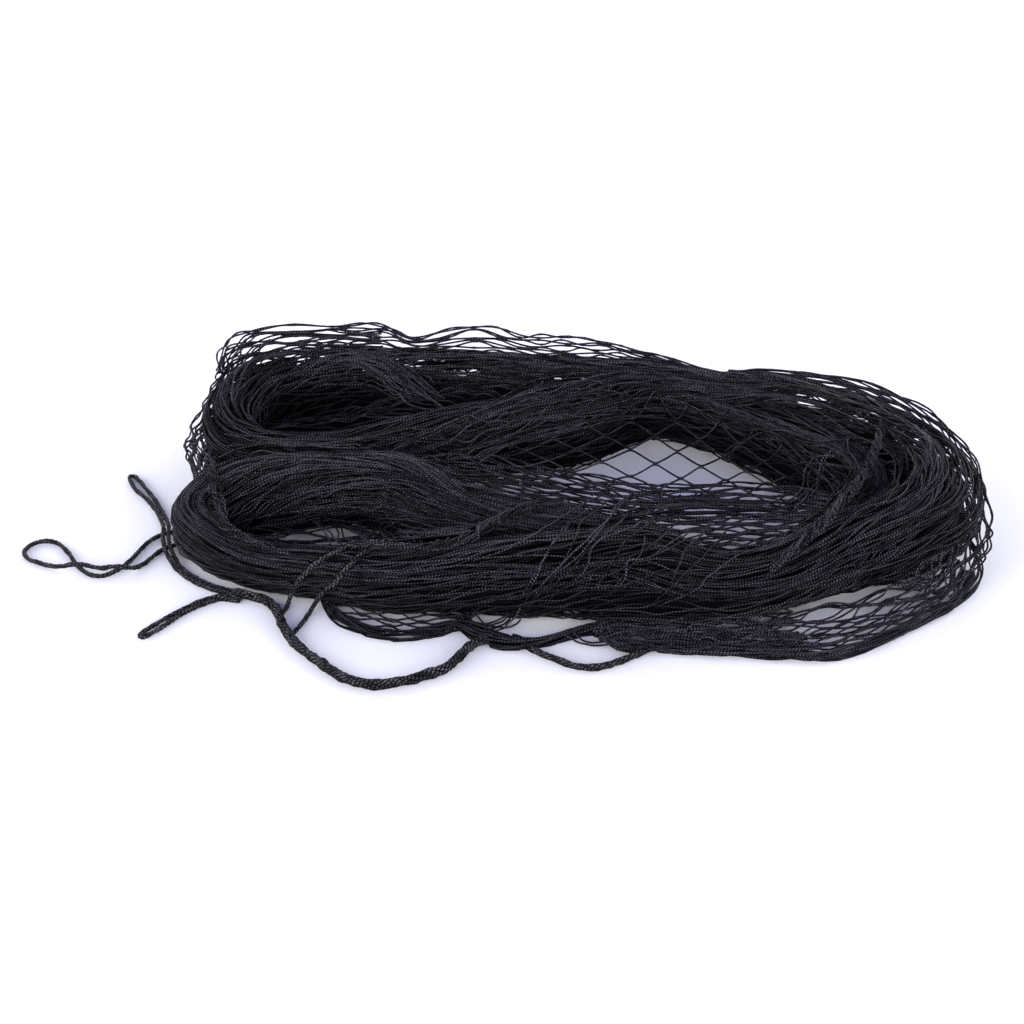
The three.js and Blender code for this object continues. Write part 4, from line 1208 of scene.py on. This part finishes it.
class HANK_OT_studio(bpy.types.Operator):
    """Pale floor, soft white light and the camera at the photo's angle."""

    bl_idname = "hank.studio"
    bl_label = "Set up the studio"

    def execute(self, context):
        scene = context.scene
        mesh = bpy.data.meshes.new("floor")
        corners = [(FLOOR_REACH * x, FLOOR_REACH * y, 0) for x, y in ((-1, -1), (1, -1), (1, 1), (-1, 1))]
        mesh.from_pydata(corners, [], [(0, 1, 2, 3)])
        mesh.materials.append(floor_material(scene.hank_colours))
        floor = bpy.data.objects.new("floor", mesh)
        scene.collection.objects.link(floor)

        scene.world = white_room()
        for name, place, energy, size in (
            ("key_light", (-1.5, -1.7, 1.1), 10.0, 1.2),
            ("top_light", (0.6, 0.9, 2.0), 1.5, 1.2),
        ):
            lamp = bpy.data.lights.new(name, "AREA")
            lamp.energy = energy
            lamp.size = size
            light = bpy.data.objects.new(name, lamp)
            light.location = place
            light.rotation_euler = (-light.location).to_track_quat("-Z", "Y").to_euler()
            scene.collection.objects.link(light)

        aim = (CAMERA_AIM - LAY_MIDDLE) * TO_METRES
        back = CAMERA_DISTANCE * math.cos(CAMERA_TILT)
        rise = CAMERA_DISTANCE * math.sin(CAMERA_TILT)
        lens = bpy.data.cameras.new("camera")
        lens.lens = CAMERA_LENS
        lens.sensor_width = CAMERA_SENSOR
        camera = bpy.data.objects.new("camera", lens)
        camera.location = (aim[0], aim[1] - back, aim[2] + rise)
        camera.rotation_euler = (math.pi / 2 - CAMERA_TILT, 0, 0)
        scene.collection.objects.link(camera)
        scene.camera = camera
        scene.view_settings.view_transform = "Standard"
        return {"FINISHED"}


class HANK_OT_lay_cords(bpy.types.Operator):
    """Loose cords on the floor and over the front run, each a laid rope on its route."""

    bl_idname = "hank.lay_cords"
    bl_label = "Lay the cords"

    def execute(self, context):
        sizes = context.scene.hank_sizes
        material = cord_material(context.scene.hank_colours)
        for index, (name, node, _, size) in enumerate(CORDS):
            diameter = getattr(sizes, size) * TO_MILLIMETRES
            path = cord_points(index)
            pitch = CORD_PITCH * diameter
            lines, radii = rope_lines(path, diameter, CORD_STRANDS[size], pitch, 30 + index)
            piece = tubes(name, [(lines, radii)], ROUND_SIDES, material, 40 + index)
            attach(piece, "root")
            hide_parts(node)
        return {"FINISHED"}


class HANK_OT_pack_runs(bpy.types.Operator):
    """Dark packed inside of the runs, the two folds and the drawn corner."""

    bl_idname = "hank.pack_runs"
    bl_label = "Pack the runs"

    def execute(self, context):
        material = packed_material(context.scene.hank_colours)
        theta = (2 * math.pi * np.arange(CORE_SIDES) / CORE_SIDES)[:, None]
        plans = [
            ("packed_circuit", CIRCUIT, True, CORE_FILL),
            ("packed_fold", SUNKEN_FOLD, False, [(0, 0.85), (4, 0.85)]),
            ("packed_hollow", HOLLOW_FOLD, False, [(0, 0.8), (4, 0.8)]),
            ("packed_corner", DRAWN_CORNER, False, [(0, 0.8), (7, 0.7)]),
        ]
        for name, rows, closed, fill in plans:
            flat = np.array(rows, float)[:, :2]
            count = round(path_length(flat, closed) / CORE_STEP)
            places, _ = even_places(flat, count, closed)
            run = sweep(rows, places, closed)
            share = np.linspace(0, 1, count + 1)[None, :]
            rho = np.interp(places, *np.array(fill).T)
            points = around(run, theta, rho * (1 + locks(theta, share)), CORE_FLOOR)
            if closed:
                sink = np.interp(places, *np.array(CORE_SINK).T)
                points[..., 2] = np.maximum(points[..., 2] * sink, CORE_FLOOR)
            join_net(packed_mesh(name, points.transpose(1, 0, 2), material))
        return {"FINISHED"}


class HANK_OT_wind_runs(bpy.types.Operator):
    """Strands of the four gathered runs, in two layers."""

    bl_idname = "hank.wind_runs"
    bl_label = "Wind the runs"

    def execute(self, context):
        sizes, material, radius = net_tools(context.scene)
        shaded = shaded_material(context.scene.hank_colours)
        run, bars = circuit(round(sizes.bar * TO_MILLIMETRES, 3))
        share = np.linspace(0, 1, len(run["places"]))
        fill = np.interp(run["places"], *np.array(CORE_FILL).T)
        sink = np.interp(run["places"], *np.array(CORE_SINK).T)
        buried = np.minimum(fill + BURIED_LIFT, BURIED_LIMIT)
        layers = []
        for strands, rho, sunk, seed in (
            (sizes.surface_strands, 1.0, 1.0, 11),
            (sizes.buried_strands, buried, sink, 12),
        ):
            lines, shade = run_strands(run, share, bars, strands, rho, sizes.twist, seed, radius)
            lines[..., 2] = np.maximum(lines[..., 2] * sunk, radius)
            layers.append((clear_of_cords(lines, radius, sizes), shade))
        starts = list(RUN_STARTS.values()) + [len(CIRCUIT)]
        cuts = [int(np.argmin(np.abs(run["places"] - place))) for place in starts]
        for name, first, last in zip(RUN_STARTS, cuts, cuts[1:]):
            for (lines, shade), ending, look, seed in zip(
                    layers, ("strands", "inner_strands"), (material, shaded), (60, 61)):
                group = (lines[:, first:last + 1], radius, shade[:, first:last + 1])
                join_net(tubes(f"{name}_run_{ending}", [group], SLACK_SIDES, look, seed + first))
        return {"FINISHED"}


class HANK_OT_wind_folds(bpy.types.Operator):
    """Strands of the two folds, the drawn corner and the two hems."""

    bl_idname = "hank.wind_folds"
    bl_label = "Wind the folds"

    def execute(self, context):
        sizes, material, radius = net_tools(context.scene)
        bar = sizes.bar * TO_MILLIMETRES
        plans = [
            ("fold_strands", SUNKEN_FOLD, 36, 0.4, 21),
            ("hollow_strands", HOLLOW_FOLD, 22, 0.3, 22),
            ("corner_strands", DRAWN_CORNER, 20, -0.5, 23),
            ("front_hem_strands", FRONT_HEM, 12, 0.6, 24),
            ("skirt_hem_strands", SKIRT_HEM, 8, -0.8, 25),
        ]
        for name, rows, strands, turns, seed in plans:
            flat = np.array(rows, float)[:, :2]
            bars = max(2, round(path_length(flat) / bar))
            places, _ = even_places(flat, bars * FOLD_SAMPLES_PER_BAR)
            run = sweep(rows, places)
            share = np.linspace(0, 1, len(places))
            lines, shade = run_strands(run, share, bars, strands, 1.0, turns, seed, radius)
            lay_strands(name, lines, radius, shade, SLACK_SIDES, material, seed, sizes)
        return {"FINISHED"}


class HANK_OT_spread_nets(bpy.types.Operator):
    """Open meshes: veil, rim, skirt, front edge, webs and flank."""

    bl_idname = "hank.spread_nets"
    bl_label = "Spread the open meshes"

    def execute(self, context):
        sizes = context.scene.hank_sizes
        material = twine_material(context.scene.hank_colours)
        twine = sizes.twine * TO_MILLIMETRES
        # Each layer of a net is its strands, bars, seed and phase
        plans = [
            ("rear_veil_net", REAR_VEIL, 0.0, 0.85, 2.6, 0.16, True,
             [(6, 24, 31, 0.0), (7, 17, 32, 0.5)]),
            ("rear_corner_net", REAR_CORNER, 0.0, 1.0, 2.5, 0.14, False,
             [(7, 10, 55, 0.0), (6, 8, 56, 0.4)]),
            ("right_rim_net", RIGHT_RIM, 0.0, 1.0, 2.5, 0.12, False,
             [(8, 14, 33, 0.0), (9, 15, 34, 0.4), (7, 16, 40, 0.7)]),
            ("front_skirt_net", FRONT_SKIRT, 0.0, 1.7, 3.5, 0.2, False,
             [(11, 11, 35, 0.0), (9, 13, 36, 0.6), (7, 10, 54, 0.3)]),
            ("skirt_fill_net", SKIRT_FILL, 0.0, 1.0, 4.5, 0.22, False,
             [(10, 6, 58, 0.1), (8, 7, 59, 0.6)]),
            ("front_edge_net", FRONT_EDGE, 0.0, 1.6, 1.5, 0.1, False,
             [(4, 4, 37, 0.0), (4, 5, 38, 0.5)]),
            ("centre_web_net", CENTRE_WEB, 6.0, 1.0, 1.2, 0.03, True,
             [(7, 18, 41, 0.0)]),
            ("shelf_web_net", SHELF_WEB, 3.0, 1.0, 3.8, 0.24, False,
             [(12, 11, 48, 0.0), (10, 9, 49, 0.5)]),
            ("loose_web_net", LOOSE_WEB, 2.0, 1.0, 3.0, 0.2, False,
             [(9, 7, 51, 0.0), (8, 5, 52, 0.5), (5, 6, 57, 0.2)]),
            ("valley_web_net", VALLEY_WEB, 8.0, 1.0, 2.0, 0.12, False,
             [(7, 6, 42, 0.0), (6, 7, 43, 0.5)]),
            ("left_flank_net", LEFT_FLANK, 0.0, 1.2, 3.0, 0.16, False,
             [(9, 6, 46, 0.0), (8, 7, 47, 0.3), (8, 5, 53, 0.6)]),
        ]
        for name, stations, sag, gather, wobble, slack, rests, layers in plans:
            groups = []
            for strands, bars, seed, phase in layers:
                lines, swell = spread_strands(
                    stations, strands, bars, seed, phase, sag, gather, wobble, slack, twine)
                if rests:
                    lines = drape(lines, twine / 2 + REST_LIFT, REST_ROUNDS)
                lines = clear_of_cords(lines, twine / 2, sizes)
                groups.append((lines, twine / 2 * swell))
            join_net(tubes(name, groups, ROUND_SIDES, material, 70 + len(name)))
        return {"FINISHED"}


class HANK_OT_lay_sheaves(bpy.types.Operator):
    """Sheaves that lie askew over the runs, single strands that fan out, and loose sheets of strands."""

    bl_idname = "hank.lay_sheaves"
    bl_label = "Lay the sheaves"

    def execute(self, context):
        sizes, material, radius = net_tools(context.scene)
        run, _ = circuit(round(sizes.bar * TO_MILLIMETRES, 3))
        rng = np.random.default_rng(91)
        groups = []
        for _ in range(sizes.sheaves):
            lines = sheaf_strands(run, rng, int(rng.integers(5, 11)), int(rng.integers(20, 56)), radius)
            groups.append((clear_of_cords(lines, radius, sizes), radius))
        half = len(groups) // 2
        join_net(tubes("lower_sheaves", groups[:half], SLACK_SIDES, material, 92))
        join_net(tubes("upper_sheaves", groups[half:], SLACK_SIDES, material, 93))
        thick = FAN_THICKNESS * radius
        for name, rows, copies, seed in (
            ("front_fan_strands", FRONT_FAN, 1, 44),
            ("right_fan_strands", RIGHT_FAN, 2, 45),
            ("valley_fan_strands", VALLEY_FAN, 2, 46),
            ("corner_loop_strands", CORNER_LOOPS, 1, 47),
        ):
            lines = fan_strands(rows, copies, FAN_SAMPLES, seed, thick)
            lay_strands(name, lines, thick, PLAIN_SHADE, LOOSE_SIDES, material, seed, sizes)
        for name, rows, strands, seed in (
            ("left_sheet_strands", LEFT_SHEET, 44, 94),
            ("lobe_sheet_strands", LOBE_SHEET, 12, 95),
            ("rear_sheet_strands", REAR_SHEET, 30, 96),
            ("shelf_sheet_strands", SHELF_SHEET, 12, 97),
            ("shelf_end_strands", SHELF_END_SHEET, 7, 98),
            ("arch_sheet_strands", ARCH_SHEET, 34, 99),
            ("valley_sheet_strands", VALLEY_SHEET, 18, 100),
        ):
            lines = sheet_strands(rows, strands, SHEET_SAMPLES, seed, radius)
            lay_strands(name, lines, radius, SHEET_SHADE, SLACK_SIDES, material, seed, sizes)
        return {"FINISHED"}


class HANK_OT_stray_strands(bpy.types.Operator):
    """Single strands that wander over the runs."""

    bl_idname = "hank.stray_strands"
    bl_label = "Scatter stray strands"

    def execute(self, context):
        sizes, material, radius = net_tools(context.scene)
        run, _ = circuit(round(sizes.bar * TO_MILLIMETRES, 3))
        rng = np.random.default_rng(51)
        count = len(run["places"]) - 1
        t = np.linspace(0, 1, STRAY_SAMPLES)
        ends = np.abs(np.linspace(-1, 1, STRAY_SAMPLES)) ** 6
        groups = []
        for _ in range(sizes.strays):
            first = int(rng.integers(0, count))
            index = (first + np.arange(STRAY_SAMPLES)) % count
            part = {key: value[index] for key, value in run.items()}
            share = index / count
            slope = rng.uniform(-0.9, 0.9)
            theta = rng.uniform(0.15, math.pi - 0.15) + slope * np.linspace(-0.5, 0.5, STRAY_SAMPLES)
            for cycles in (1.5, 3.0, 5.0):
                size = rng.uniform(0.04, 0.2) / cycles
                theta = theta + size * np.sin(2 * math.pi * (cycles * t + rng.random()))
            rho = 1.05 + locks(theta, share) - 0.1 * ends
            lines = around(part, theta[None, :], rho[None, :], radius)
            groups.append((clear_of_cords(lines, radius, sizes), radius))
        join_net(tubes("stray_strands", groups, LOOSE_SIDES, material, 52))
        return {"FINISHED"}


class HANK_OT_border_bundles(bpy.types.Operator):
    """Bundles of strands along the border of the netting where it lies over the runs."""

    bl_idname = "hank.border_bundles"
    bl_label = "Lay the border bundles"

    def execute(self, context):
        sizes, material, radius = net_tools(context.scene)
        width = sizes.bundle * TO_MILLIMETRES
        for name, points, strands, turns, seed in (
            ("left_border_strands", LEFT_BORDER, 14, 3.0, 81),
            ("valley_border_strands", VALLEY_BORDER, 16, 2.5, 82),
            ("right_border_strands", RIGHT_BORDER, 18, 4.0, 83),
        ):
            lines = bundle_strands(points, width, strands, turns, seed, radius)
            lay_strands(name, lines, radius, PLAIN_SHADE, ROUND_SIDES, material, seed, sizes)
        return {"FINISHED"}


class HANK_PT_panel(bpy.types.Panel):
    """Sizes, colours and steps of the hank."""

    bl_idname = "HANK_PT_panel"
    bl_label = "Net hank"
    bl_space_type = "VIEW_3D"
    bl_region_type = "UI"
    bl_category = "Net hank"

    def draw(self, context):
        layout = self.layout
        for group in (context.scene.hank_sizes, context.scene.hank_colours):
            for key in group.__annotations__:
                layout.prop(group, key)
        for operator in OPERATORS:
            layout.operator(operator.bl_idname)


OPERATORS = (
    HANK_OT_studio,
    HANK_OT_lay_cords,
    HANK_OT_pack_runs,
    HANK_OT_wind_runs,
    HANK_OT_wind_folds,
    HANK_OT_spread_nets,
    HANK_OT_lay_sheaves,
    HANK_OT_stray_strands,
    HANK_OT_border_bundles,
)
CLASSES = (HankSizes, HankColours, *OPERATORS, HANK_PT_panel)


def register():
    for item in CLASSES:
        bpy.utils.register_class(item)
    bpy.types.Scene.hank_sizes = bpy.props.PointerProperty(type=HankSizes)
    bpy.types.Scene.hank_colours = bpy.props.PointerProperty(type=HankColours)


def unregister():
    del bpy.types.Scene.hank_colours
    del bpy.types.Scene.hank_sizes
    for item in reversed(CLASSES):
        bpy.utils.unregister_class(item)


def main():
    register()
    bpy.ops.hank.studio()
    bpy.ops.hank.lay_cords()
    bpy.ops.hank.pack_runs()
    bpy.ops.hank.wind_runs()
    bpy.ops.hank.wind_folds()
    bpy.ops.hank.spread_nets()
    bpy.ops.hank.lay_sheaves()
    bpy.ops.hank.stray_strands()
    bpy.ops.hank.border_bundles()


if __name__ == "__main__":
    main()
